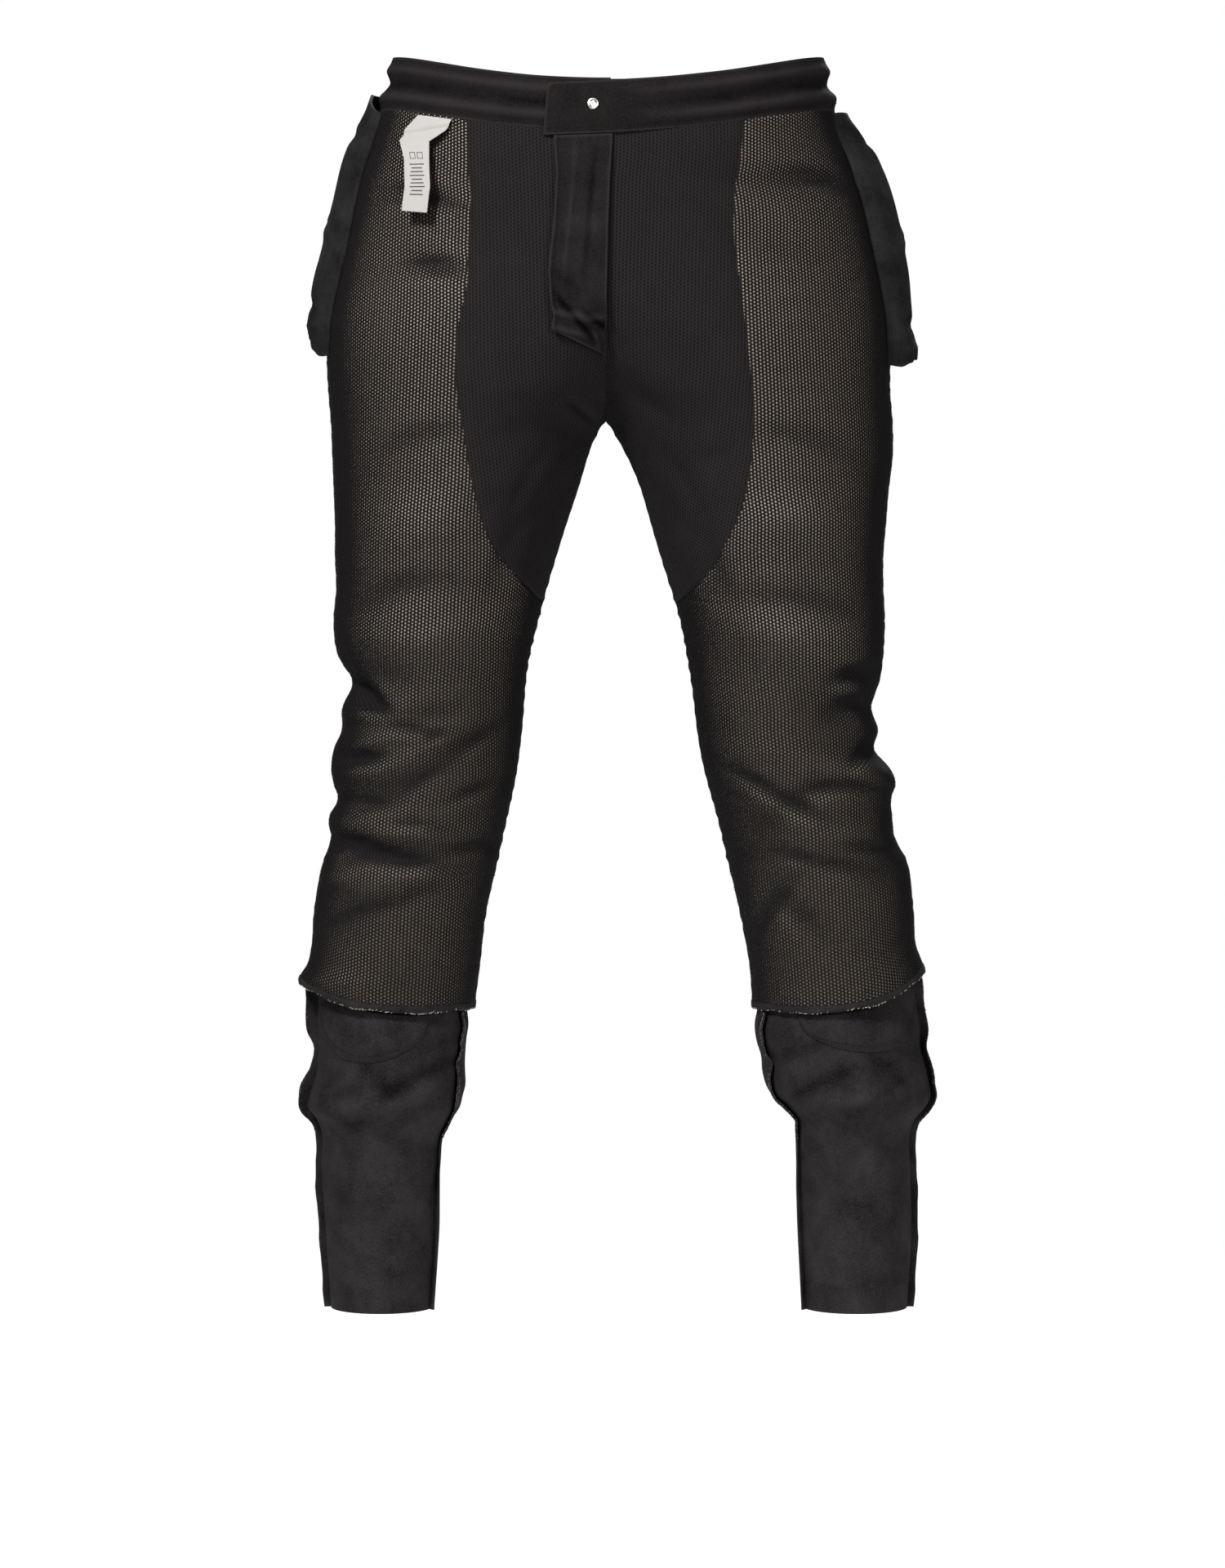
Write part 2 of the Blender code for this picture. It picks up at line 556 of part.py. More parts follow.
def make_button(finishes):
    """The round back plate of the waist button, on the waistband's upper end."""
    station = np.degrees(BUTTON_PLACE["across"] / read(OUTER_EDGE, "left", BUTTON_PLACE["drop"]))
    turn = 90 + station
    rim, seam = around(WAIST_RIM, turn, WAIST_RIM_POWER), around(WAIST_SEAM, turn, WAIST_SEAM_POWER)
    share = (BUTTON_PLACE["drop"] - rim - flap_lean("right", 90 - station)) / (seam - rim)
    seat = band_point(station, share, True)
    out = cloth_normal(LEG, "left", turn, BUTTON_PLACE["drop"])
    across = np.cross(out, [0.0, 0.0, 1.0])
    across /= np.linalg.norm(across)
    up = np.cross(across, out)
    points, faces = [seat + out * GAP], []
    profile = list(zip(BUTTON_PROFILE["radius"], BUTTON_PROFILE["rise"]))[:-1]
    angles = np.linspace(0, 2 * np.pi, BUTTON_SIDES, endpoint=False)
    for radius, rise in profile:
        points += [
            seat + out * (GAP + rise) + radius * (across * np.cos(a) + up * np.sin(a)) for a in angles
        ]
    points.append(seat + out * (GAP + BUTTON_PROFILE["rise"][-1]))
    for side in range(BUTTON_SIDES):
        after = (side + 1) % BUTTON_SIDES
        faces.append((0, 1 + side, 1 + after))
        for ring in range(len(profile) - 1):
            low = 1 + ring * BUTTON_SIDES
            high = low + BUTTON_SIDES
            faces.append((low + side, low + after, high + after, high + side))
        last = 1 + (len(profile) - 1) * BUTTON_SIDES
        faces.append((last + side, last + after, len(points) - 1))
    make_solid("button_back", finishes["button_metal"], faces, points)


def make_pocket_bags(finishes):
    across = np.linspace(0, 1, POCKET_BAG_COLUMNS + 1)
    down = np.linspace(0, 1, POCKET_BAG_ROWS + 1)[:, None]
    bulge = np.maximum(np.sin(np.pi * across**0.65), 0) ** 0.7
    for side in SIDES:
        turns = POCKET_BAG_TURNS[0] * (1 - across) + POCKET_BAG_TURNS[1] * across
        seam = panel_top(side, turns) + 2
        lifted = np.clip(np.minimum(across, 1 - across) / POCKET_BAG_CORNER_SHARE, 0, 1)
        top = seam * (1 - lifted) + POCKET_BAG_TOP[side] * lifted
        front_end, side_end = POCKET_BAG_END[side]
        end = front_end + (side_end - front_end) * np.minimum(across / POCKET_BAG_CORNER_SHARE, 1)
        drops = top * (1 - down) + end * down
        stand_off = read(POCKET_BAG, side, drops) * bulge
        out = POCKET_BAG_FRONT_OUT + POCKET_BAG_WALL + stand_off * (1 - POCKET_BAG_TUCK * down**8)
        turn_grid = np.broadcast_to(turns, drops.shape)
        outside = cloth(LEG, side, turn_grid, drops, out)
        inside = cloth(LEG, side, turn_grid, drops, out - POCKET_BAG_WALL)
        wall(f"pocket_bag_{side}", finishes["pocket_cloth"], outside, inside)


def make_finishes():
    finishes = {}
    for name, (colour, roughness, metallic) in FINISHES.items():
        finish = bpy.data.materials.new(name)
        finish.use_nodes = True
        shader = finish.node_tree.nodes["Principled BSDF"]
        shader.inputs["Base Color"].default_value = (*colour, 1)
        shader.inputs["Roughness"].default_value = roughness
        shader.inputs["Metallic"].default_value = metallic
        finishes[name] = finish
    return finishes


def main():
    for thing in list(bpy.data.objects):
        bpy.data.objects.remove(thing)
    finishes = make_finishes()
    make_waistband(finishes)
    make_button(finishes)
    hanging_strip("fly_shield", finishes["denim"], FLY_SHIELD, FLY_SHIELD_COLUMNS, FLY_SHIELD_WALL)
    hanging_strip("care_label", finishes["label_satin"], CARE_LABEL, CARE_LABEL_COLUMNS, LABEL_WALL)
    make_lined_legs(finishes)
    make_hem_bindings(finishes)
    make_shins(finishes)
    make_knee_pockets(finishes)
    make_allowances(finishes)
    make_pocket_bags(finishes)


main()
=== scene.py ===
# %% [markdown]
# Motorcycle trousers, worn inside out. What shows is the wrong side of everything: the lining, the seam
# allowances and the pocket bags. Blender already holds a rigid model of each cut piece. This lesson dresses
# each one as cloth, on the same form and in the same frame, with its own folds, knit and sewing.

import bmesh
import bpy
import numpy as np
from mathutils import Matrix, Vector


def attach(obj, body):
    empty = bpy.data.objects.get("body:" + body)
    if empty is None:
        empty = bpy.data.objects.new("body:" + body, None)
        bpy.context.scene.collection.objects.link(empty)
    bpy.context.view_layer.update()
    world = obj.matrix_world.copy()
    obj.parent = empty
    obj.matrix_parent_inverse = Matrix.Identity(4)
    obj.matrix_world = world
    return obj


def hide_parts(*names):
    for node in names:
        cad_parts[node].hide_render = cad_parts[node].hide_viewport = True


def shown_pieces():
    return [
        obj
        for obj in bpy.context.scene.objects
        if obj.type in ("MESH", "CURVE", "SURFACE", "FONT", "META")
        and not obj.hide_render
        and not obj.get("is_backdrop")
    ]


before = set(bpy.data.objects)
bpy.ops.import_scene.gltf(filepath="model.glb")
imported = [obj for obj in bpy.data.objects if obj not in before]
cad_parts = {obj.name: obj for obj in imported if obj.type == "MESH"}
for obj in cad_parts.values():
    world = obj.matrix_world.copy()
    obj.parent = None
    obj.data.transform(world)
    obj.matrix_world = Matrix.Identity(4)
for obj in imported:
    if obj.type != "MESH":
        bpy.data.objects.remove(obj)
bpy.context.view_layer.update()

# %% [markdown]
# Cloth is easiest to place in its own terms. A place on a leg is a turn round it in degrees and a drop below
# the waist in millimetres. A turn of 0 is the outseam, 90 the front, 180 the inseam, and negative turns go
# round the back. Short charts give the silhouette and the depth at some drops. A smooth curve runs between
# their rows, so one function can give any point of the trousers.

# %% Charts of the legs
MM = 0.001
SIDES = {"left": -1, "right": 1}
FORK_DROP = 250
RISE_CURVE_START = 130
RISE_CURVE_POWER = 1.2
HEM_DROP = 700
HEM_BINDING_HEIGHT = 6
HEM_RISE_AT_OUTSEAM = {"left": 19, "right": 28}
TOP_LEVEL = 30
HEM_LEVEL = HEM_DROP - HEM_BINDING_HEIGHT
TOP_SLANT_SPAN = 100
HEM_SLANT_SPAN = 104
SHIN_SLANT_START = 702
SHIN_SLANT_SPAN = 50
WAIST_RIM = {"side": -18, "front": 3, "back": -10}
WAIST_SEAM = {"side": 22.5, "front": 41.5, "back": 30}
WAIST_RIM_POWER = 2.5
WAIST_SEAM_POWER = 3


def table(columns, *rows):
    """A small chart with named columns."""
    return dict(zip(columns.split(), np.array(rows, float).T))


OUTER_EDGE = table(
    "drop left right",
    (-18, 161, 165), (0, 163, 167), (14, 168, 171), (34, 174, 175), (69, 186, 190), (97, 193, 198),
    (128, 199, 205), (153, 205, 210), (183, 210, 214), (207, 211, 215), (232, 210, 215), (257, 208, 217),
    (282, 207, 217), (307, 206, 214), (332, 205, 212), (356, 205, 210), (381, 204, 210), (406, 206, 211),
    (431, 203, 210), (452, 193, 208), (472, 200, 201), (489, 200, 206), (503, 206, 203), (518, 208, 215),
    (530, 206, 219), (540, 203, 216), (555, 210, 217), (570, 209, 219), (588, 214, 229), (609, 219, 232),
    (629, 222, 234), (654, 224, 236), (667, 227, 241), (677, 233, 243), (688, 231, 243), (700, 230, 244),
)
INNER_EDGE = table(
    "drop left right",
    (250, 0, 0), (257, 4, 4), (270, 11, 9), (282, 14, 17), (307, 21, 27), (332, 30, 34), (356, 37, 41),
    (381, 45, 49), (406, 51, 57), (431, 58, 61), (452, 61, 65), (472, 62, 67), (503, 65, 71),
    (530, 69, 77), (555, 75, 85), (588, 82, 92), (609, 87, 98), (629, 92, 102), (654, 94, 107),
    (677, 97, 111), (688, 98, 110), (700, 101, 112),
)
LEG_DEPTH = table(
    "drop front back seam_line corner",
    (-18, 108, 106, 0, 0.93), (34, 114, 112, 0, 0.92), (100, 116, 124, 2, 0.92), (180, 114, 134, 3, 0.93),
    (250, 106, 120, 3, 1), (300, 101, 106, 1, 1), (380, 92, 90, -3, 1), (460, 79, 75, -8, 1),
    (540, 74, 74, -6, 1), (620, 71, 77, 0, 1), (700, 68, 73, 4, 1),
)
SHIN_OUTER_EDGE = table(
    "drop left right",
    (655, 213, 229), (672, 217, 233), (702, 219, 237), (714, 219, 239), (731, 219, 239),
    (745, 220, 243), (758, 223, 246), (768, 226, 247), (776, 227, 243), (784, 221, 236),
    (794, 217, 232), (820, 217, 232), (870, 214, 233), (930, 210, 230),
)
SHIN_INNER_EDGE = table(
    "drop left right",
    (655, 106, 116), (690, 106, 116.5), (702, 105.5, 115), (714, 104.5, 113), (724, 106, 114),
    (738, 107, 118), (750, 107, 119), (760, 107, 122), (768, 109, 127), (776, 111, 136),
    (784, 116, 143), (794, 122, 144), (820, 126, 145), (870, 128, 147), (930, 132, 150),
)
SHIN_DEPTH = table(
    "drop front back seam_line corner",
    (655, 58, 63, 4, 1), (690, 60, 65, 4, 1), (702, 61, 66.5, 4, 1), (714, 64, 70, 4, 1),
    (745, 70, 75, 4, 1), (768, 73, 78, 5, 1), (780, 68, 73, 6, 1), (794, 57, 62, 7, 1),
    (820, 54, 59, 8, 1), (870, 49, 55, 9, 1), (930, 45, 50, 10, 1),
)
LEG = {"outer": OUTER_EDGE, "inner": INNER_EDGE, "depth": LEG_DEPTH}
SHIN = {"outer": SHIN_OUTER_EDGE, "inner": SHIN_INNER_EDGE, "depth": SHIN_DEPTH}
CROTCH_SEAM = table(
    "drop left right",
    (22, 103, 104), (67, 102, 99), (97, 100, 95), (132, 102, 96), (156, 103, 100), (184, 109, 103),
    (218, 111, 107), (237, 110, 109), (265, 105, 109), (297, 100, 106), (322, 94, 100), (346, 85, 89),
    (362, 74, 80), (381, 57, 65), (392, 47.5, 53.5),
)
CROTCH_PIECE_END = 392
LEVELS = np.array([
    30, 50, 72, 97, 124, 152, 180, 206, 228, 242, 250, 259, 272, 288, 306, 326, 346, 364, 379, 392, 410,
    426, 440, 452, 464, 476, 490, 504, 516, 528, 541, 556, 572, 590, 612, 636, 660, 680, 694,
], float)
print("charts:", len(LEVELS), "levels from the waist seam to the hem")

# %% [markdown]
# Tight cloth on a bent leg makes creases that run across it, narrow troughs with a soft swell beside each.
# A simulation would put them somewhere else, so each main crease is placed one by one. The broad folds are
# those of the rigid model. The finer creases are placed by their distance from the centre line and their
# drop, and each is faded out where the cloth turns away to the side.

# %% Folds and creases
FOLDS = table(
    "side turn drop slope length width depth",
    (-1, 30, 462, 12, 32, 9, -5), (-1, 85, 478, -8, 26, 9, -3), (-1, 60, 492, -14, 30, 10, 3.5),
    (-1, 110, 500, -22, 46, 9, -4), (-1, 80, 528, -18, 44, 10, -3), (-1, 75, 578, 4, 60, 10, -4),
    (-1, 40, 600, 8, 36, 10, 3), (-1, 60, 636, -10, 40, 10, -3), (-1, 70, 340, -20, 50, 16, 2.5),
    (1, 30, 450, -10, 30, 9, -4), (1, 50, 472, 14, 26, 9, -4), (1, 100, 545, 30, 44, 10, -4),
    (1, 40, 520, -6, 34, 10, 4), (1, 50, 590, 2, 50, 10, -4), (1, 110, 628, -40, 30, 10, -3.5),
    (1, 60, 566, 10, 40, 9, 3), (1, 40, 76, 6, 34, 10, -3.5), (1, 80, 330, 20, 50, 16, 2.5),
    (-1, -60, 455, 10, 55, 10, -5), (-1, -100, 480, -12, 50, 11, -5), (-1, -80, 506, 6, 50, 10, 4),
    (-1, -110, 255, 24, 60, 12, -4), (-1, -90, 290, 18, 50, 12, -3.5), (-1, -70, 600, -8, 50, 11, -4),
    (1, -60, 460, -10, 55, 10, -5), (1, -100, 486, 10, 50, 11, -5), (1, -80, 512, -8, 50, 10, 4),
    (1, -110, 258, -22, 60, 12, -4), (1, -85, 296, -18, 50, 12, -3.5), (1, -70, 610, 8, 50, 11, -4),
)
FOLD_RADIUS = 75
# The face is 1 for the front and -1 for the back.
CREASES = table(
    "side face away drop slope length width depth",
    (-1, 1, 182, 458, -36, 16, 8, -6), (-1, 1, 179, 467, -11, 14, 6, -2.5),
    (-1, 1, 150, 484, -6, 22, 5, -2.2), (-1, 1, 128, 491, 26, 9, 6, -2.5),
    (-1, 1, 146, 508, 25, 32, 7, 2.5), (-1, 1, 136, 522, 32, 20, 5, -1.6),
    (-1, 1, 98, 496, 36, 20, 5, -1.4), (-1, 1, 100, 532, 20, 17, 6, -2.6),
    (-1, 1, 174, 542, 2, 11, 6, -2), (-1, 1, 190, 571, -4, 20, 7, -4.5), (-1, 1, 173, 580, 3, 21, 7, -3),
    (-1, 1, 100, 574, 12, 20, 7, -3), (-1, 1, 147, 588, 5, 20, 7, -2), (-1, 1, 180, 621, 19, 28, 7, -2.5),
    (-1, 1, 139, 607, 20, 19, 7, -2), (-1, 1, 151, 562, 10, 44, 8, 2), (-1, 1, 154, 596, 9, 48, 9, 2),
    (-1, 1, 129, 140, -8, 20, 9, -4), (-1, 1, 138, 88, -14, 22, 8, -4),
    (-1, 1, 138, 266, 16, 31, 12, -1.5), (-1, 1, 148, 323, 13, 41, 14, 1.5),
    (-1, 1, 151, 378, 15, 45, 12, -1.5), (-1, 1, 135, 417, 7, 54, 12, 1.8),
    (-1, 1, 70, 345, 58, 40, 9, -1.6), (-1, 1, 60, 300, 62, 36, 8, -1.4),
    (-1, 1, 186, 507, 6, 17, 8, -5.5), (-1, 1, 139, 557, -5, 20, 6, -3), (-1, 1, 150, 583, -7, 38, 5, -3),
    (-1, 1, 18, 247, -38, 16, 4, -2.5), (-1, 1, 55, 232, -4, 34, 11, 2.2),
    (-1, 1, 50, 262, 4, 38, 13, -2), (-1, 1, 15, 203, -32, 12, 4, 1.8), (1, 1, 42, 226, 22, 34, 11, 2.2),
    (1, 1, 28, 240, 30, 26, 8, -2.4), (1, 1, 30, 262, -30, 22, 7, 1.6),
    (1, 1, 70, 285, -18, 40, 11, -1.5), (-1, 1, 62, 300, 12, 34, 10, 1.4),
    (1, 1, 188, 443, -11, 18, 7, -4), (1, 1, 187, 466, 17, 15, 6, -3), (1, 1, 192, 505, -35, 13, 6, -2.5),
    (1, 1, 180, 528, 1, 32, 6, -3.5), (1, 1, 110, 524, 29, 21, 6, -3), (1, 1, 143, 542, 27, 20, 6, -3),
    (1, 1, 142, 580, 13, 17, 6, -2.5), (1, 1, 173, 586, 6, 18, 6, -2.5), (1, 1, 194, 574, 5, 29, 6, -2.5),
    (1, 1, 123, 621, -56, 25, 8, -2.5), (1, 1, 136, 552, 27, 26, 8, 2), (1, 1, 183, 543, 3, 29, 8, 2),
    (1, 1, 159, 74, 11, 26, 7, -2.5), (1, 1, 142, 108, 18, 25, 10, 1.5),
    (1, 1, 148, 267, 14, 38, 12, -1.5), (1, 1, 154, 330, 11, 44, 14, 1.5),
    (1, 1, 154, 389, 12, 45, 12, -1.5), (1, 1, 139, 417, 7, 61, 12, 1.8),
    (1, 1, 74, 350, 56, 40, 9, -1.6), (1, 1, 62, 305, 60, 36, 8, -1.4),
    (-1, -1, 170, 450, -16, 26, 7, -3.5), (-1, -1, 120, 468, 14, 34, 7, -3.5),
    (-1, -1, 150, 496, 10, 30, 7, -3), (-1, -1, 110, 520, -12, 30, 7, -2.5),
    (-1, -1, 160, 560, 6, 34, 8, -2.5), (-1, -1, 130, 618, 12, 36, 8, -2.5),
    (-1, -1, 90, 262, 24, 50, 9, -3), (-1, -1, 100, 288, 20, 44, 9, -2.5),
    (-1, -1, 60, 316, 30, 30, 9, -2), (1, -1, 172, 456, 14, 26, 7, -3.5),
    (1, -1, 124, 474, -12, 34, 7, -3.5), (1, -1, 154, 502, -8, 30, 7, -3),
    (1, -1, 116, 528, 14, 30, 7, -2.5), (1, -1, 166, 568, -6, 34, 8, -2.5),
    (1, -1, 138, 622, -12, 36, 8, -2.5), (1, -1, 94, 266, 22, 50, 9, -3),
    (1, -1, 104, 294, 18, 44, 9, -2.5), (1, -1, 64, 320, 28, 30, 9, -2),
)
SHIN_CREASES = table(
    "side face away drop slope length width depth",
    (-1, 1, 150, 752, 30, 42, 7, -2.2), (-1, 1, 185, 738, -35, 30, 7, -2),
    (-1, 1, 165, 768, 12, 45, 6, 2), (-1, 1, 130, 726, 20, 22, 7, -1.6),
    (-1, 1, 160, 722, -14, 40, 8, -1.2), (-1, 1, 195, 760, 20, 20, 6, -1.6),
    (1, 1, 170, 748, -24, 42, 7, -2.2), (1, 1, 205, 736, 38, 28, 7, -2), (1, 1, 190, 764, -10, 45, 6, 2),
    (1, 1, 145, 728, -20, 24, 7, -1.6), (1, 1, 180, 720, 12, 40, 8, -1.2),
    (1, 1, 215, 756, -30, 24, 6, -1.8), (-1, -1, 160, 745, 12, 45, 8, -2.5),
    (-1, -1, 150, 765, -8, 45, 7, 2), (1, -1, 185, 742, -12, 45, 8, -2.5),
    (1, -1, 180, 764, 10, 45, 7, 2), (-1, -1, 150, 726, -16, 34, 8, -1.6),
    (1, -1, 190, 724, 16, 34, 8, -1.6),
)
print("folds:", len(FOLDS["side"]), "broad,", len(CREASES["side"]) + len(SHIN_CREASES["side"]), "fine")


# %% Reading the charts
def read(chart, column, drop):
    """One column of a chart at a drop, on a smooth curve through its rows."""
    at_rows, values = chart["drop"], chart[column]
    slopes = np.gradient(values, at_rows)
    drop = np.clip(drop, at_rows[0], at_rows[-1])
    row = np.clip(np.searchsorted(at_rows, drop) - 1, 0, len(at_rows) - 2)
    step = at_rows[row + 1] - at_rows[row]
    share = (drop - at_rows[row]) / step
    rest = 1 - share
    return (
        (1 + 2 * share) * rest**2 * values[row]
        + share * rest**2 * step * slopes[row]
        + (3 - 2 * share) * share**2 * values[row + 1]
        - share**2 * rest * step * slopes[row + 1]
    )


def signed_power(value, power):
    return np.sign(value) * np.abs(value) ** power


FORK_SOFTENING = (
    (0.06, -24.0), (0.12, -16.0), (0.2, -8.0), (0.24, 0.0), (0.2, 8.0), (0.12, 16.0), (0.06, 24.0),
)


def leg_inner(side, drop):
    """The inner end of one leg's ring, which runs past the centre line above the fork."""
    outer = read(OUTER_EDGE, side, drop)
    share = np.clip((drop - RISE_CURVE_START) / (FORK_DROP - RISE_CURVE_START), 0, 1)
    joined = share**RISE_CURVE_POWER
    return np.where(drop < FORK_DROP, outer * (joined - 1) / (joined + 1), read(INNER_EDGE, side, drop))


def section(part, side, drop):
    """Centre, half width, front and back depth, seam line and corner power of one leg's ring."""
    outer = read(part["outer"], side, drop)
    if part is LEG:
        inner = sum(weight * leg_inner(side, drop + step) for weight, step in FORK_SOFTENING)
    else:
        inner = read(part["inner"], side, drop)
    depths = [read(part["depth"], column, drop) for column in ("front", "back", "seam_line", "corner")]
    return (outer + inner) / 2, (outer - inner) / 2, *depths


CREASE_CURVE = 0.0035
CREASE_NARROWING = 0.72
CREASE_FACING = 2.2


def trough(off, width):
    """A narrow trough with a soft swell on both sides, 1 at its middle."""
    swells = 0.3 * np.exp(-(((off - 2.1 * width) / (1.3 * width)) ** 2))
    swells += 0.18 * np.exp(-(((off + 2.2 * width) / (1.3 * width)) ** 2))
    return np.exp(-((off / width) ** 2)) - swells


def broad_height(side, turn, drop):
    """How far the broad folds lift the cloth, or sink it."""
    height = np.zeros(np.broadcast(turn, drop).shape)
    for fold_side, fold_turn, fold_drop, slope, length, width, depth in zip(*FOLDS.values()):
        if fold_side == SIDES[side]:
            across = np.radians(turn - fold_turn) * FOLD_RADIUS
            down, tilt = drop - fold_drop, np.radians(slope)
            along = across * np.cos(tilt) + down * np.sin(tilt)
            off = down * np.cos(tilt) - across * np.sin(tilt)
            height += depth * np.exp(-((along / length) ** 2) - (off / width) ** 2)
    return height


def fine_height(creases, side, turn, drop, away):
    """How far the fine creases lift the cloth, or sink it."""
    height = np.zeros(np.broadcast(turn, drop).shape)
    for fold_side, face, place, fold_drop, slope, length, width, depth in zip(*creases.values()):
        if fold_side == SIDES[side]:
            across, down, tilt = away - place, drop - fold_drop, np.radians(slope)
            along = across * np.cos(tilt) + down * np.sin(tilt)
            off = down * np.cos(tilt) - across * np.sin(tilt) + CREASE_CURVE * along**2 * np.sign(depth)
            facing = np.clip(face * np.sin(np.radians(turn)) * CREASE_FACING, 0, 1)
            sharp = width * (CREASE_NARROWING if depth < 0 else 1)
            height += depth * facing * np.exp(-((along / length) ** 2)) * trough(off, sharp)
    return height


def cloth_point(part, side, turn, drop, creased=True):
    """The point on the cloth's outside at a turn and a drop."""
    centre, half_width, front, back, seam_line, corner = section(part, side, drop)
    angle = np.radians(turn)
    depth = np.where(np.sin(angle) > 0, front, back)
    away = centre + half_width * signed_power(np.cos(angle), corner)
    lift = broad_height(side, turn, drop) if part is LEG else 0.0
    if creased:
        lift = lift + fine_height(CREASES if part is LEG else SHIN_CREASES, side, turn, drop, away)
    x = SIDES[side] * (away + lift * np.cos(angle))
    y = seam_line - depth * signed_power(np.sin(angle), corner) - lift * np.sin(angle)
    return np.stack(np.broadcast_arrays(x, y, -drop), axis=-1)


def cloth_normal(part, side, turn, drop, creased=True):
    """The direction straight out of the cloth."""
    here, there = (cloth_point(part, side, turn + step, drop, creased) for step in (-0.5, 0.5))
    above, below = (cloth_point(part, side, turn, drop + step, creased) for step in (-1.0, 1.0))
    normal = np.cross(below - above, there - here) * -SIDES[side]
    return normal / np.linalg.norm(normal, axis=-1, keepdims=True)


def cloth(part, side, turn, drop, out=0.0, creased=True):
    """Points on the cloth, moved out of it by a distance."""
    turn, drop = np.broadcast_arrays(np.asarray(turn, float), np.asarray(drop, float))
    lift = np.broadcast_to(out, turn.shape)[..., None]
    return cloth_point(part, side, turn, drop, creased) + cloth_normal(part, side, turn, drop, creased) * lift


waist_front = cloth(LEG, "left", 90.0, 45.0)
print("cloth: the front at the waist seam is", np.round(waist_front, 1), "mm")


# %% Edges of the cut pieces
def turn_at(part, side, distance, drop):
    """The turn of a place on the front that is a distance from the centre line."""
    centre, half_width, _, _, _, corner = section(part, side, drop)
    cosine = signed_power((distance - centre) / half_width, 1 / corner)
    return np.degrees(np.arccos(np.clip(cosine, -1, 1)))


def front_point(part, x, drop, out):
    """Points on the front at an x, moved out of the cloth's smooth form."""
    x, drop, out = np.broadcast_arrays(x, drop, out)
    turns = {side: turn_at(part, side, np.abs(x), drop) for side in SIDES}
    sides = [cloth(part, side, turns[side], drop, out, creased=False) for side in SIDES]
    return np.where((x < 0)[..., None], *sides)


def inner_turn(side, drop):
    """Where a leg panel ends: on the centre line above the fork, and at the inseam below it."""
    return np.minimum(turn_at(LEG, side, 0.02, drop), 180)


def crotch_turn(side, drop):
    return turn_at(LEG, side, read(CROTCH_SEAM, side, drop), drop)


def around(line, turn, power):
    """A drop that changes from the sides to the front and the back."""
    angle = np.radians(turn)
    middle = np.where(np.sin(angle) > 0, line["front"], line["back"])
    return line["side"] + (middle - line["side"]) * np.abs(np.sin(angle)) ** power


FLAP_LEAN = 6
FLAP_LEAN_SPAN = (25, 40)


def flap_lean(side, turn):
    """How far the waistband hangs below its own line near its upper end, at the front."""
    station = (90 - np.asarray(turn, float)) * SIDES[side]
    start, span = FLAP_LEAN_SPAN
    return FLAP_LEAN * np.clip((start - station) / span, 0, 1) ** 2


def panel_top(side, turn):
    lean = flap_lean(side, turn) if side == "right" else 0
    return around(WAIST_SEAM, turn, WAIST_SEAM_POWER) + lean * (np.asarray(turn) > 0) + 0.1


def hem_edge(side, turn):
    """The drop of the lining's hem, which rises at the outseam."""
    share = (1 + np.cos(np.radians(turn))) / 2
    return HEM_DROP - HEM_RISE_AT_OUTSEAM[side] * share**4


def level_drop(side, turn, level):
    """The drop of a level: the upper rows follow the waistband and the lowest ones the hem."""
    near_top = np.clip(1 - (level - TOP_LEVEL) / TOP_SLANT_SPAN, 0, 1)
    near_hem = np.clip(1 - (HEM_LEVEL - level) / HEM_SLANT_SPAN, 0, 1)
    top = near_top * (panel_top(side, turn) - TOP_LEVEL)
    return level + top + near_hem * (hem_edge(side, turn) - HEM_DROP)


def shin_drop(side, turn, level):
    """The drop of a level of the shin, whose upper rows follow the lining's hem."""
    near_hem = np.clip(1 - (level - SHIN_SLANT_START) / SHIN_SLANT_SPAN, 0, 1)
    return level + near_hem * (hem_edge(side, turn) - HEM_DROP)


def edge_on_level(side, level, edge):
    """The turn at which a level meets an edge that is given by its drop."""
    turn = edge(side, level)
    for _ in range(3):
        turn = edge(side, level_drop(side, turn, level))
    return turn


print("edges: the crotch seam starts at turn", round(float(crotch_turn("left", 45.0)), 1))

# %% [markdown]
# Every cloth piece here is a grid of points, rows by columns. The mesh keeps two sets of flat coordinates.
# The UV map fills its square, for a painted copy. The attribute cloth_mm holds the distance across and down
# the cloth in millimetres, so that a knit or a weave has its real size and bends with the folds. Its third
# value is the size of the knit's holes, drawn smaller in a trough as painted shade, and on some denim pieces
# its wear together with painted highlights on ridges and painted shade in troughs. Another attribute,
# edge_mm, holds the distance to the nearest cut edge.


# %% Making cloth from a grid
def lengths(points, axis):
    """The distance run along one direction of a grid of points."""
    steps = np.linalg.norm(np.diff(points, axis=axis), axis=-1)
    return np.insert(np.cumsum(steps, axis=axis), 0, 0, axis=axis)


def finish_mesh(name, points, faces, corner_uv, cloth_mm, edge_mm, materials, normals=None):
    mesh = bpy.data.meshes.new(name)
    mesh.from_pydata((np.asarray(points) * MM).tolist(), [], faces)
    layer = mesh.uv_layers.new(name="UVMap")
    layer.data.foreach_set("uv", np.asarray(corner_uv, np.float32).ravel())
    flat = mesh.attributes.new("cloth_mm", "FLOAT_VECTOR", "POINT")
    flat.data.foreach_set("vector", np.asarray(cloth_mm, np.float32).ravel())
    edge = mesh.attributes.new("edge_mm", "FLOAT", "POINT")
    edge.data.foreach_set("value", np.asarray(edge_mm, np.float32).ravel())
    for material in materials:
        mesh.materials.append(material)
    mesh.shade_smooth()
    if normals is not None:
        mesh.normals_split_custom_set_from_vertices(np.asarray(normals, float).tolist())
    piece = bpy.data.objects.new(name, mesh)
    bpy.context.scene.collection.objects.link(piece)
    return piece


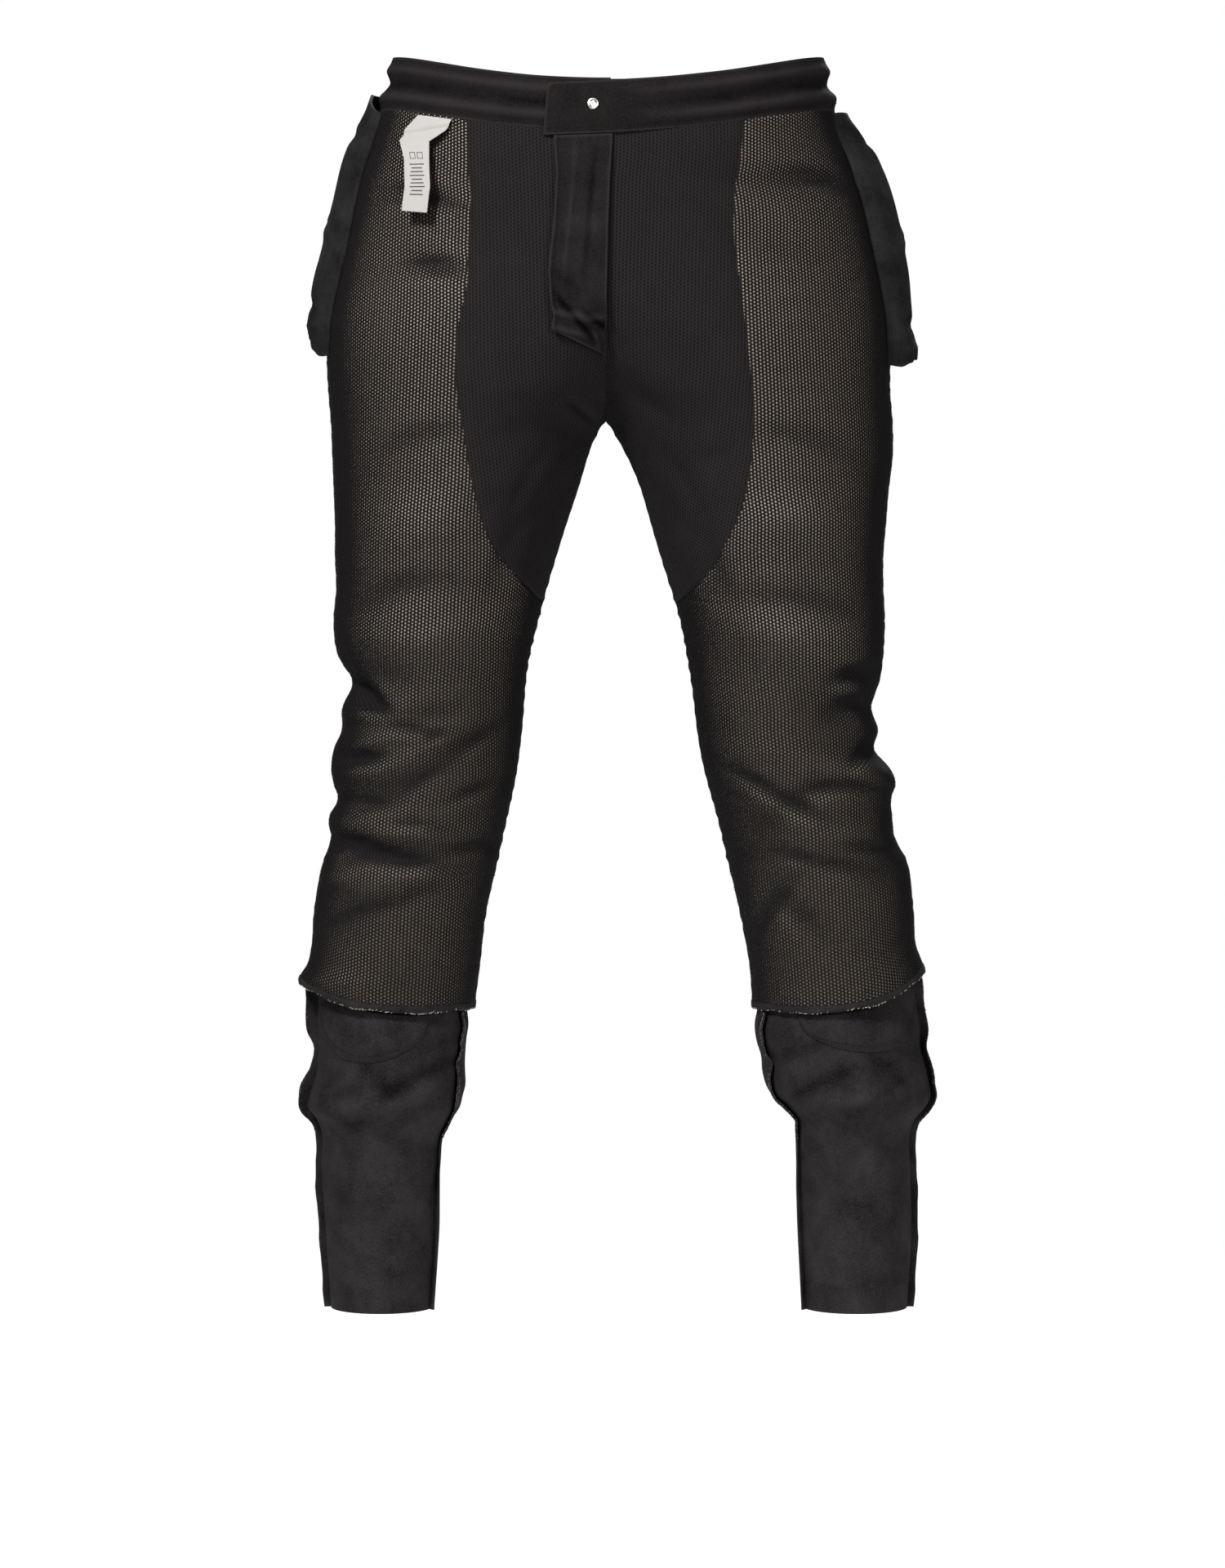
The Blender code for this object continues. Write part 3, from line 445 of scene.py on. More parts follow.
def grid_normals(points):
    """The normal at each point of a grid, from its neighbours."""
    down = np.gradient(points, axis=0)
    over = np.gradient(points, axis=1)
    normal = np.cross(down, over)
    return normal / np.linalg.norm(normal, axis=-1, keepdims=True)


def sheet_from_grid(name, points, material, towards, middle=0.5, grid_mm=None, rows=None):
    """A thin sheet. Its faces point the way that the grid of directions does."""
    points = np.asarray(points, float)
    normals = grid_normals(points)
    flip = float(np.sum(normals * towards)) < 0
    if flip:
        normals = -normals
    if grid_mm is None:
        grid_mm = flat_coordinates(points, middle)
    edge = edge_distance(points)
    if rows is not None:
        points, normals, grid_mm, edge = points[rows], normals[rows], grid_mm[rows], edge[rows]
    row_count, column_count, _ = points.shape
    index = np.arange(row_count * column_count).reshape(row_count, column_count)
    quads = np.stack([index[:-1, :-1], index[:-1, 1:], index[1:, 1:], index[1:, :-1]], axis=-1).reshape(-1, 4)
    if not flip:
        quads = quads[:, ::-1]
    row, column = np.divmod(quads, column_count)
    uv = np.stack([0.01 + 0.98 * column / (column_count - 1), 0.99 - 0.98 * row / (row_count - 1)], axis=-1)
    return finish_mesh(
        name, points.reshape(-1, 3), quads.tolist(), uv, grid_mm.reshape(-1, 3), edge.ravel(), [material],
        normals.reshape(-1, 3),
    )


def flat_coordinates(points, middle):
    """Millimetres across from one column, and down it, as the cloth lay before it was sewn."""
    across = lengths(points, 1)
    column = int(round(middle * (points.shape[1] - 1)))
    across = across - across[:, column:column + 1]
    down = np.broadcast_to(lengths(points, 0)[:, column:column + 1], across.shape)
    return np.stack([across, down, np.zeros_like(across)], axis=-1)


def edge_distance(points):
    across, down = lengths(points, 1), lengths(points, 0)
    return np.minimum.reduce([across, across[:, -1:] - across, down, down[-1:] - down])


def wall_from_grids(name, outside, inside, material, closed_ring=False, worn=0.0):
    """A cloth wall with both faces and its cut edges. Its wear, with painted highlights on ridges and painted
    shade in troughs, is the third value of cloth_mm.
    """
    row_count, column_count, _ = outside.shape
    layer = row_count * column_count
    spans = column_count if closed_ring else column_count - 1

    def at(row, column, deep):
        return deep * layer + row * column_count + column % column_count

    faces, places = [], []

    def add(corners):
        faces.append([at(*corner) for corner in corners])
        places.append(corners)

    for row in range(row_count - 1):
        for column in range(spans):
            add([(row, column, 0), (row, column + 1, 0), (row + 1, column + 1, 0), (row + 1, column, 0)])
            add([(row, column, 1), (row + 1, column, 1), (row + 1, column + 1, 1), (row, column + 1, 1)])
    for column in range(spans):
        add([(0, column, 0), (0, column, 1), (0, column + 1, 1), (0, column + 1, 0)])
        end = row_count - 1
        add([(end, column, 0), (end, column + 1, 0), (end, column + 1, 1), (end, column, 1)])
    if not closed_ring:
        for row in range(row_count - 1):
            add([(row, 0, 0), (row + 1, 0, 0), (row + 1, 0, 1), (row, 0, 1)])
            end = column_count - 1
            add([(row, end, 0), (row, end, 1), (row + 1, end, 1), (row + 1, end, 0)])
    points = np.concatenate([outside.reshape(-1, 3), inside.reshape(-1, 3)])
    corners = points[np.array(faces)]
    crossed = np.cross(corners[:, 1] - corners[:, 0], corners[:, 2] - corners[:, 0])
    if float(np.einsum("ij,ij->", corners[:, 0], crossed)) < 0:
        faces = [face[::-1] for face in faces]
        places = [place[::-1] for place in places]
    uv = [
        (0.01 + 0.48 * column / spans + 0.5 * deep, 0.99 - 0.98 * row / (row_count - 1))
        for place in places for row, column, deep in place
    ]
    grid_mm = np.concatenate([flat_coordinates(grid, 0.5).reshape(-1, 3) for grid in (outside, inside)])
    grid_mm[:, 2] = np.tile(np.broadcast_to(worn, outside.shape[:2]).ravel(), 2)
    edge = np.concatenate([edge_distance(grid).ravel() for grid in (outside, inside)])
    piece = finish_mesh(name, points, faces, uv, grid_mm, edge, [material])
    piece.data.set_sharp_from_angle(angle=np.radians(60))
    return piece


def finer(values, times):
    """The same list with each step cut into equal parts."""
    count = len(values)
    return np.interp(np.arange((count - 1) * times + 1) / times, np.arange(count), values)


print("grids: ready")

# %% [markdown]
# Materials are built from sums on sockets. A small class wraps one output socket, so that a pattern can be
# written as an expression on it. The knit, weave and thread patterns read the cloth's own flat coordinates.


# %% Shader expressions
class Signal:
    """An output socket, with arithmetic."""

    def __init__(self, paint, socket):
        self.paint = paint
        self.socket = socket

    def math(self, operation, *values):
        return self.paint.node("ShaderNodeMath", {"operation": operation}, [self, *values])

    def __add__(self, other):
        return self.math("ADD", other)

    def __sub__(self, other):
        return self.math("SUBTRACT", other)

    def __rsub__(self, other):
        return self.paint.node("ShaderNodeMath", {"operation": "SUBTRACT"}, [other, self])

    def __mul__(self, other):
        return self.math("MULTIPLY", other)

    def __truediv__(self, other):
        return self.math("DIVIDE", other)

    def step(self, low, high):
        """0 below the low value and 1 above the high one, with a soft change between."""
        settings = {"interpolation_type": "SMOOTHSTEP"}
        return self.paint.node("ShaderNodeMapRange", settings, {0: self, 1: low, 2: high})


class Paint:
    """A material's nodes."""

    def __init__(self, name):
        self.material = bpy.data.materials.new(name)
        self.material.use_nodes = True
        self.tree = self.material.node_tree
        self.shader = self.tree.nodes["Principled BSDF"]
        self.shader.inputs["Specular IOR Level"].default_value = 0.06

    def node(self, kind, settings=None, values=(), output=0):
        """One node: its settings first, then the values or links of its sockets."""
        made = self.tree.nodes.new(kind)
        for key, value in (settings or {}).items():
            setattr(made, key, value)
        for key, value in values.items() if isinstance(values, dict) else enumerate(values):
            self.put(made.inputs[key], value)
        return Signal(self, made.outputs[output])

    def put(self, socket, value):
        if isinstance(value, Signal):
            self.tree.links.new(value.socket, socket)
        else:
            socket.default_value = value

    def attribute(self, name, output="Vector"):
        return self.node("ShaderNodeAttribute", {"attribute_name": name}, output=output)

    def place(self, axis):
        """Millimetres across the cloth for axis 0, down it for axis 1, and for axis 2 the knit's hole size,
        which carries painted trough shade, and on denim its wear with painted light and shade on folds.
        """
        return self.node("ShaderNodeSeparateXYZ", values=[self.attribute("cloth_mm")], output=axis)

    def position(self, axis):
        """One coordinate of the trousers' own frame, in metres."""
        where = self.node("ShaderNodeTexCoord", output="Object")
        return self.node("ShaderNodeSeparateXYZ", values=[where], output=axis)

    def noise(self, scale, detail=2.0, roughness=0.5):
        where = self.node("ShaderNodeTexCoord", output="Object")
        values = {"Vector": where, "Scale": scale, "Detail": detail, "Roughness": roughness}
        return self.node("ShaderNodeTexNoise", values=values)

    def blend(self, factor, dark, light):
        """A colour between two colours."""
        return self.node("ShaderNodeMix", {"data_type": "RGBA"}, {0: factor, 6: dark, 7: light}, output=2)

    def bump(self, height, distance):
        return self.node("ShaderNodeBump", values={"Distance": distance, "Height": height})

    def finish(self, **values):
        for key, value in values.items():
            self.put(self.shader.inputs[key.replace("_", " ")], value)
        return self.material


def black(value, red=0.16, blue=0.03):
    """A dark grey with the slightly red cast of worn black dye."""
    return (value * (1 + red), value, value * (1 + blue), 1)


print("shader expressions: ready")

# %% [markdown]
# The lining is a warp-knitted mesh with round holes in staggered columns. Over the legs it lies on cream
# aramid cloth, and the holes show as cream dots. From the side a hole hides what lies under it, so the dots
# fade towards the outline of the leg. Painted dots can't do that, so the mesh has open holes, in two sheets
# that give the yarn its thickness, a hair above the aramid. Over the crotch piece it lies on black denim,
# where the holes are only a little darker.

# %% Mesh, aramid and crotch cloth
HOLE_ACROSS = 2.7
HOLE_DOWN = 2.62
HOLE_RADIUS = 0.8
# Painted shade: the aramid's colour is painted darker at the knee and below, where less light falls, changing
# between these two heights in metres.
PAINTED_SHADE_BETWEEN = (-0.50, -0.34)
ARAMID_WEAVE_MM = 0.9


def hole_distance(paint):
    """The distance from the middle of the nearest hole, in millimetres."""
    across, down = paint.place(0), paint.place(1)
    column = (across / HOLE_ACROSS + 400.5).math("FLOOR")
    over = (across / HOLE_ACROSS + 400.5).math("FRACT") - 0.5
    shift = column.math("MODULO", 2.0) * 0.5
    under = (down / HOLE_DOWN + 400.0 + shift).math("FRACT") - 0.5
    over, under = over * HOLE_ACROSS, under * HOLE_DOWN
    return (over * over * 1.25 + under * under * 0.9).math("SQRT")


def make_mesh_cloth():
    paint = Paint("black_knitted_mesh")
    distance = hole_distance(paint)
    openness = paint.place(2)
    ragged = paint.noise(900, 1.0) * 0.2 - 0.1
    # The third value of cloth_mm sizes the holes; in a trough the smaller holes paint the crease's shade.
    open_hole = 1 - ((distance + ragged) / openness).step(HOLE_RADIUS - 0.1, HOLE_RADIUS + 0.06)
    yarn = distance.step(HOLE_RADIUS - 0.1, 1.3)
    fuzz = paint.noise(2600, 3.0)
    colour = paint.blend(yarn * 0.6 + fuzz * 0.5, black(0.002), black(0.010))
    bump = paint.bump(yarn + fuzz * 0.5, 0.00025)
    return paint.finish(Base_Color=colour, Roughness=0.72, Alpha=1 - open_hole, Normal=bump)


def make_aramid_cloth():
    paint = Paint("cream_aramid_cloth")
    warp, weft = ((paint.place(axis) * (2 * np.pi / ARAMID_WEAVE_MM)).math("SINE") for axis in (0, 1))
    weave = warp * weft
    tone = paint.noise(14, 3.0) * 0.7 + weave * 0.15
    # Painted shade: the lower legs' aramid is darkened, standing in for the light falling off there.
    tone = tone + paint.position(2).step(*PAINTED_SHADE_BETWEEN) * 0.9
    colour = paint.blend(tone, (0.15, 0.125, 0.09, 1), (0.56, 0.48, 0.38, 1))
    return paint.finish(Base_Color=colour, Roughness=0.8, Normal=paint.bump(weave, 0.0001))


def make_crotch_mesh():
    paint = Paint("black_mesh_on_denim")
    distance = hole_distance(paint)
    fuzz = paint.noise(2600, 3.0)
    patches = paint.noise(60, 3.0)
    yarn = distance.step(0.45, 1.25)
    tone = yarn * 0.6 + fuzz * 0.35 + patches * 0.3 - 0.15
    colour = paint.blend(tone, black(0.003, 0.18), black(0.015, 0.18))
    bump = paint.bump(yarn + fuzz * 0.4, 0.0004)
    return paint.finish(Base_Color=colour, Roughness=0.72, Normal=bump)


mesh_cloth = make_mesh_cloth()
aramid_cloth = make_aramid_cloth()
crotch_mesh = make_crotch_mesh()
print("mesh: holes", HOLE_ACROSS, "by", HOLE_DOWN, "mm apart")

# %% [markdown]
# The trousers are black denim, seen from its wrong side. Its twill lines run up at a slant, and the pale weft
# greys it a little. Wear rubs the edges of hems and allowances, so the colour lightens near a cut edge.


# %% Denim, pocket cloth, satin, thread and metal
def make_denim(name, dark, light, lines_mm=1.05, edge_wear=0.0, red=0.13, mottle=1.6):
    paint = Paint(name)
    across, down = paint.place(0), paint.place(1)
    slant = (across * 0.62 + down) * (2 * np.pi / lines_mm)
    twill = slant.math("SINE") * 0.5 + 0.5
    broken = paint.noise(1100, 2.0)
    worn = paint.noise(38, 5.0, 0.62)
    # The third value of cloth_mm lightens ridges and darkens troughs: partly wear, partly painted highlight
    # and painted shade.
    tone = twill * 0.14 + (broken - 0.5) * 1.3 + (worn - 0.5) * mottle + 0.4 + paint.place(2)
    if edge_wear:
        tone = tone + (1 - paint.attribute("edge_mm", "Fac").step(0.0, 2.4)) * edge_wear
    colour = paint.blend(tone, black(dark, red), black(light, red))
    bump = paint.bump(twill * 0.25 + broken, 0.0003)
    return paint.finish(Base_Color=colour, Roughness=0.86, Normal=bump)


def make_satin():
    """White satin tape with generic care marks: plain squares and thin lines, no words."""
    paint = Paint("white_satin_tape")
    across, down = paint.place(0), paint.place(1)
    fine = (across * (2 * np.pi / 0.35)).math("SINE")

    def near(signal, place, half):
        return (signal - place).math("ABSOLUTE").math("LESS_THAN", half)

    marks = 0
    for place in (-3.4, 3.4):
        whole = near(across, place, 2.6) * near(down, 36.0, 2.8)
        core = near(across, place, 2.0) * near(down, 36.0, 2.2)
        marks = whole - core + marks
    for number in range(9):
        width = 6.6 - (number * 5 % 3) * 0.9
        marks = near(across, 0.0, width) * near(down, 43.0 + 2.9 * number, 0.45) + marks
    colour = paint.blend(marks.math("MINIMUM", 1.0), (0.41, 0.395, 0.38, 1), (0.05, 0.05, 0.055, 1))
    return paint.finish(Base_Color=colour, Roughness=0.42, Normal=paint.bump(fine, 0.00004))


def make_thread(name, colour):
    paint = Paint(name)
    twist = paint.noise(1800, 1.0)
    dark = tuple(value * 0.6 for value in colour[:3]) + (1,)
    return paint.finish(Base_Color=paint.blend(twist, dark, colour), Roughness=0.6)


def make_metal():
    paint = Paint("bright_plated_metal")
    scratches = paint.noise(900, 3.0)
    colour = paint.blend(scratches, (0.80, 0.78, 0.74, 1), (0.92, 0.91, 0.89, 1))
    return paint.finish(Base_Color=colour, Metallic=1.0, Roughness=scratches * 0.15 + 0.24)


denim = make_denim("black_denim_wrong_side", 0.002, 0.027, mottle=1.2)
raw_denim = make_denim("black_denim_raw_edge", 0.002, 0.022, edge_wear=0.25)
band_denim = make_denim("waistband_denim", 0.001, 0.015, edge_wear=0.7, red=0.2, mottle=0.7)
shield_denim = make_denim("fly_shield_denim", 0.001, 0.017, edge_wear=0.7, red=0.16, mottle=1.1)
face_denim = make_denim("black_denim_face", 0.008, 0.024, lines_mm=0.8)
pocket_cloth = make_denim("black_pocket_cloth", 0.003, 0.021, lines_mm=0.5, edge_wear=0.2, red=0.04)
satin = make_satin()
black_thread = make_thread("black_thread", (0.018, 0.016, 0.016, 1))
cream_thread = make_thread("cream_thread", (0.60, 0.55, 0.45, 1))
grey_thread = make_thread("grey_thread", (0.20, 0.19, 0.18, 1))
metal = make_metal()
print("materials:", len(bpy.data.materials))


# %% Attaching the pieces and measuring them
def cloth_piece(piece, slot, *nodes):
    """The piece rides with the trousers and stands for the rigid model's nodes."""
    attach(piece, "root")
    if nodes:
        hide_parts(*nodes)
    return piece


def area_of(*pieces):
    return sum(face.area for piece in pieces for face in piece.data.polygons)


# %% [markdown]
# Each lined leg has a front and a back. They meet at the outseam and the inseam, where both dip into the
# seam. The front ends at the curved crotch piece. Each has four thin sheets: two of mesh, the aramid under
# them, and the denim's face, which shows inside the leg and turns inwards. The long mesh is cut into three
# bands that share their edges, so that a painted copy of its fine holes stays sharp.

# %% Lined legs
MESH_OUT = 0.35
MESH_BACK_OUT = -0.1
ARAMID_OUT = -0.45
LINING_GRAIN = {"left": (138, 166), "right": (140, 178)}
CROTCH_GRAIN = (58, 51)
DENIM_FACE_OUT = -2.3
SEAM_DIP = 1.0
SEAM_DIP_REACH = 3.5
BANDS = (0, 52, 100, 152)
ROWS_A_LEVEL = 4
PANEL_COLUMNS = 44
CROTCH_COLUMNS = 36
SHEETS_OUT = {"mesh": MESH_OUT, "mesh_back": MESH_BACK_OUT, "aramid": ARAMID_OUT, "denim": DENIM_FACE_OUT}
PUCKER_HEIGHT = 1.2
PUCKER_REACH = 6.0
PUCKER_AT_OUTSEAM = 0.5
NEARLY_INSEAM = 179.99
CENTRE_REACH = 20
CENTRE_STEP = 0.01
# The knit opens a little towards the knee and on a swell. In a trough its holes are drawn smaller, a painted
# shade of the crease.
TROUGH_PAINTED_SHADE = 0.13
SWELL_OPENS = 0.03
BROAD_SHARE = 0.35
OPENNESS = table("drop scale", (30, 1.0), (330, 1.0), (400, 1.02), (480, 1.05), (620, 1.05), (700, 1.02))


def seam_pucker(levels):
    """The scallops of a seam sewn through stretched cloth, uneven along it."""
    phase = levels * (2 * np.pi / 11) + 1.1 * np.sin(levels / 17)
    return PUCKER_HEIGHT * np.sin(phase) * (0.65 + 0.35 * np.sin(levels / 29))


def spread_turns(side, levels, first_turn, last_turn, columns):
    """Turns between two edges, closer together near both, so that columns pass the fork without a jump."""
    corner = section(LEG, side, levels)[-1][:, None]
    first, last = (
        signed_power(np.cos(np.radians(turn)), corner[:, 0])[:, None] for turn in (first_turn, last_turn)
    )
    shares = (1 - np.cos(np.linspace(0, np.pi, columns + 1))) / 2
    cosines = signed_power(first * (1 - shares) + last * shares, 1 / corner)
    return np.degrees(np.arccos(np.clip(cosines, -1, 1))) * np.sign(last_turn)[:, None]


def panel_grid(side, levels, first_turn, last_turn, columns, out):
    """Points of a lined panel, which dips where it is sewn. Above the fork it ends on the centre line."""
    turns = spread_turns(side, levels, first_turn, last_turn, columns)
    drops = level_drop(side, turns, levels[:, None])
    points = cloth(LEG, side, turns, drops)
    across = lengths(points, 1)
    below_fork = np.clip((levels[:, None] - FORK_DROP - 8) / 25, 0, 1)
    below_fork = np.where(np.abs(points[:, -1:, 0]) > CENTRE_REACH, 1, below_fork)
    dip = np.exp(-((across / SEAM_DIP_REACH) ** 2))
    dip = SEAM_DIP * (dip + below_fork * np.exp(-(((across[:, -1:] - across) / SEAM_DIP_REACH) ** 2)))
    at_outseam, at_inseam = np.abs(first_turn) < 0.5, np.abs(last_turn) > 179.5
    pucker = PUCKER_AT_OUTSEAM * at_outseam[:, None] * np.exp(-((across / PUCKER_REACH) ** 2))
    pucker = pucker + at_inseam[:, None] * np.exp(-(((across[:, -1:] - across) / PUCKER_REACH) ** 2))
    normals = cloth_normal(LEG, side, turns, drops)
    on_centre = (np.abs(last_turn) < NEARLY_INSEAM) & (np.abs(points[:, -1, 0]) < CENTRE_REACH)
    on_centre[1:] |= on_centre[:-1]
    points = points + normals * (out - dip + pucker * seam_pucker(levels)[:, None])[..., None]
    least = CENTRE_STEP * np.arange(columns, -1, -1)
    own = np.maximum(points[..., 0] * SIDES[side], least)
    own[on_centre, -1] = 0
    points[..., 0] = own * SIDES[side]
    return points, normals, turns


def knit_coordinates(side, points, levels, turns, grain):
    """Flat coordinates measured from the grain line, with the knit's hole size as the third value, drawn
    smaller in a trough as painted shade.
    """
    anchor = turn_at(LEG, side, np.interp(levels, (levels[0], levels[-1]), grain), levels)
    across = lengths(points, 1)
    on_line = np.array([
        [np.interp(place, np.abs(row_turns), values) for values in (*row.T, over)]
        for place, row_turns, row, over in zip(anchor, turns, points, across)
    ])
    down = np.broadcast_to(lengths(on_line[:, None, :3], 0), across.shape)
    drops = -points[..., 2]
    height = fine_height(CREASES, side, turns, drops, points[..., 0] * SIDES[side])
    height = height + BROAD_SHARE * broad_height(side, turns, drops)
    openness = np.interp(drops, OPENNESS["drop"], OPENNESS["scale"])
    # Painted shade: the holes shrink in a trough, so the crease reads darker.
    openness = openness * (1 + TROUGH_PAINTED_SHADE * np.clip(height, -5, 0) + SWELL_OPENS * np.clip(height, 0, 3))
    return np.stack([across - on_line[:, 3:], down, openness], axis=-1)


def make_leg(side):
    levels = finer(LEVELS, ROWS_A_LEVEL)
    inner = np.array([edge_on_level(side, level, inner_turn) for level in levels])
    zero = np.zeros(len(levels))
    crotch_rows = int(np.sum(levels <= CROTCH_PIECE_END))
    seam = np.array([edge_on_level(side, level, crotch_turn) for level in levels[:crotch_rows]])
    front_end = inner.copy()
    front_end[:crotch_rows] = np.minimum(seam, inner[:crotch_rows])
    made = []
    for face_name, start, end in (("front_lining", zero, front_end), ("back_lining", -zero, -inner)):
        name = f"{face_name}_{side}"
        grids = {}
        for key, out in SHEETS_OUT.items():
            grids[key], normals, turns = panel_grid(side, levels, start, end, PANEL_COLUMNS, out)
        flat_mm = knit_coordinates(side, grids["mesh"], levels, turns, LINING_GRAIN[side])
        bands = []
        for number, (top, low) in enumerate(zip(BANDS[:-1], BANDS[1:])):
            rows = slice(top, low + 1)
            for key in ("mesh", "mesh_back"):
                band = sheet_from_grid(
                    f"{name}_{key}_{number + 1}", grids[key], mesh_cloth, normals, grid_mm=flat_mm, rows=rows,
                )
                bands.append(cloth_piece(band, "lined_mesh", name))
        aramid = sheet_from_grid(f"{name}_aramid", grids["aramid"], aramid_cloth, normals)
        face = sheet_from_grid(f"{name}_denim", grids["denim"], face_denim, -normals)
        cloth_piece(aramid, "lined_mesh", name)
        cloth_piece(face, "denim", name)
        made.append((name, bands, aramid, face))
    crotch_levels = levels[:crotch_rows]
    ends = seam, inner[:crotch_rows]
    points, normals, turns = panel_grid(side, crotch_levels, *ends, CROTCH_COLUMNS, MESH_OUT)
    flat_mm = knit_coordinates(side, points, crotch_levels, turns, CROTCH_GRAIN)
    inside, _, _ = panel_grid(side, crotch_levels, *ends, CROTCH_COLUMNS, DENIM_FACE_OUT)
    name = f"front_crotch_{side}"
    crotch = sheet_from_grid(f"{name}_mesh", points, crotch_mesh, normals, grid_mm=flat_mm)
    face = sheet_from_grid(f"{name}_denim", inside, face_denim, -normals, middle=1.0)
    cloth_piece(crotch, "crotch_mesh", name)
    cloth_piece(face, "denim", name)
    made.append((name, [crotch], face, None))
    return made


legs = {side: make_leg(side) for side in SIDES}
for side, panels in legs.items():
    for name, outer, *_ in panels:
        print(name, "shows", round(area_of(*outer), 4), "square metres")

# %% [markdown]
# Each panel is gone through once more, and the panels are counted.


for side, panels in legs.items():
    for name, outer, under, face in panels:
        if face is None:
            continue
print("declared:", sum(len(panels) for panels in legs.values()), "panels")

# %% [markdown]
# The lining ends on the shin in a narrow bound hem, closed by an overlock seam in cream and black yarn.

# %% Bound hem
HEM_COLUMNS = 96


def hem_round(side, turns):
    """Turns from 0 to 360 as turns of a leg, with the hem's wave and its lower edge there."""
    turns = np.where(turns > 180, turns - 360, turns)
    wave = 0.7 * np.sin(np.radians(turns * 7 + 20)) + 0.4 * np.sin(np.radians(turns * 17))
    return turns, wave, hem_edge(side, turns) + wave * 0.8


def make_hem(side):
    turns, wave, edge = hem_round(side, np.linspace(0, 360, HEM_COLUMNS, endpoint=False))
    top = hem_edge(side, turns) - HEM_BINDING_HEIGHT + 0.2
    shares = np.array([0, 0.15, 0.5, 0.85, 1])[:, None]
    drops = top + (edge - top) * shares
    round_out = np.array([0.1, 0.7, 0.9, 0.7, 0.1])[:, None] + 0.25 * wave * shares
    outside = cloth(LEG, side, turns, drops, round_out)
    inside = cloth(LEG, side, turns, drops, -2.0)
    name = f"lining_hem_{side}"
    piece = wall_from_grids(f"{name}_cloth", outside, inside, denim, closed_ring=True)
    return cloth_piece(piece, "denim", name)


hems = [make_hem(side) for side in SIDES]
print("hems:", [round(area_of(piece), 4) for piece in hems])

# %% [markdown]
# Below the hem the denim shows its wrong side. Each shin is a front and a back, seamed at both sides, and the
# cloth blouses over what held it at the foot. Its creases are soft, because denim is stiff.

# %% Shins
DENIM_WALL = 1.6
SHIN_LEVELS = np.array([
    680, 702, 714, 727, 740, 752, 762, 770, 777, 785, 795, 812, 850, 890, 930,
], float)
UNDER_LINING = -3.1
SHIN_WEAR_AND_SHADING = 0.12


def make_shin(side, face, sign):
    levels = finer(SHIN_LEVELS, 5)
    shares = np.linspace(0, 1, 41)
    turns = np.broadcast_to(sign * (0.2 + 179.6 * shares), (len(levels), len(shares)))
    drops = shin_drop(side, turns, levels[:, None])
    top = np.clip((702 - levels[:, None]) / 22, 0, 1)
    drops = drops + top * (level_drop(side, turns, levels[:, None]) - drops)
    under = cloth(LEG, side, turns, drops, UNDER_LINING)
    rest = cloth(SHIN, side, turns, drops, 0.0)
    dip = 0.8 * np.exp(-((np.minimum(shares, 1 - shares) * 200 / 3.0) ** 2)) * (1 - top)
    outside = rest + (under - rest) * top[..., None]
    outside = outside - cloth_normal(SHIN, side, turns, drops) * dip[..., None]
    inside = outside - cloth_normal(SHIN, side, turns, drops) * (DENIM_WALL - 0.2)
    name = f"shin_{face}_{side}"
    # Painted light and shade: crease ridges are painted paler, partly wear, and crease troughs darker as
    # painted shade.
    worn = SHIN_WEAR_AND_SHADING * fine_height(SHIN_CREASES, side, turns, drops, np.abs(rest[..., 0]))
    piece = wall_from_grids(f"{name}_cloth", outside, inside, denim, worn=worn)
    cloth_piece(piece, "denim", name)
    return piece


shins = [make_shin(side, face, sign) for side in SIDES for face, sign in (("front", 1), ("back", -1))]
print("shins:", [round(area_of(piece) / 2, 4) for piece in shins])

# %% [markdown]
# The foot of the knee pocket shows under the hem as a U, held to the denim by two rows of stitches.

# %% Knee pocket foot
KNEE_POCKET_FOOT = {"left": 737, "right": 729}
KNEE_POCKET_TURN = 68
KNEE_POCKET_HALF_TURN = 52


def knee_pocket_place(side, share, down):
    """The turn and drop of a place on the U: the share runs from -1 to 1 across it, and down from 0 to 1."""
    turn = KNEE_POCKET_TURN + KNEE_POCKET_HALF_TURN * share
    top = shin_drop(side, turn, 702.0)
    return turn, top + down * (KNEE_POCKET_FOOT[side] - top) * np.sqrt(1 - share**2)


def make_knee_pocket(side):
    shares = np.linspace(-0.985, 0.985, 49)
    rows = np.linspace(0, 1, 13)[:, None]
    turns, drops = knee_pocket_place(side, shares, rows)
    turns = np.broadcast_to(turns, drops.shape)
    pucker = 0.25 * np.sin(shares * 40) * np.sin(np.pi * rows)
    near_edge = np.exp(-(((1 - rows) * 6) ** 2))
    out = 1.5 + pucker - 0.6 * near_edge
    outside = cloth(SHIN, side, turns, drops, out)
    inside = cloth(SHIN, side, turns, drops, 0.2)
    name = f"knee_pocket_{side}"
    return cloth_piece(wall_from_grids(f"{name}_cloth", outside, inside, denim), "denim", name)


knee_pockets = [make_knee_pocket(side) for side in SIDES]
print("knee pockets:", [round(area_of(piece), 4) for piece in knee_pockets])

# %% [markdown]
# Turned inside out, the seam allowances stand out of the shin. Each is a double flange that waves and leans,
# with its raw edge bound by overlock yarn.

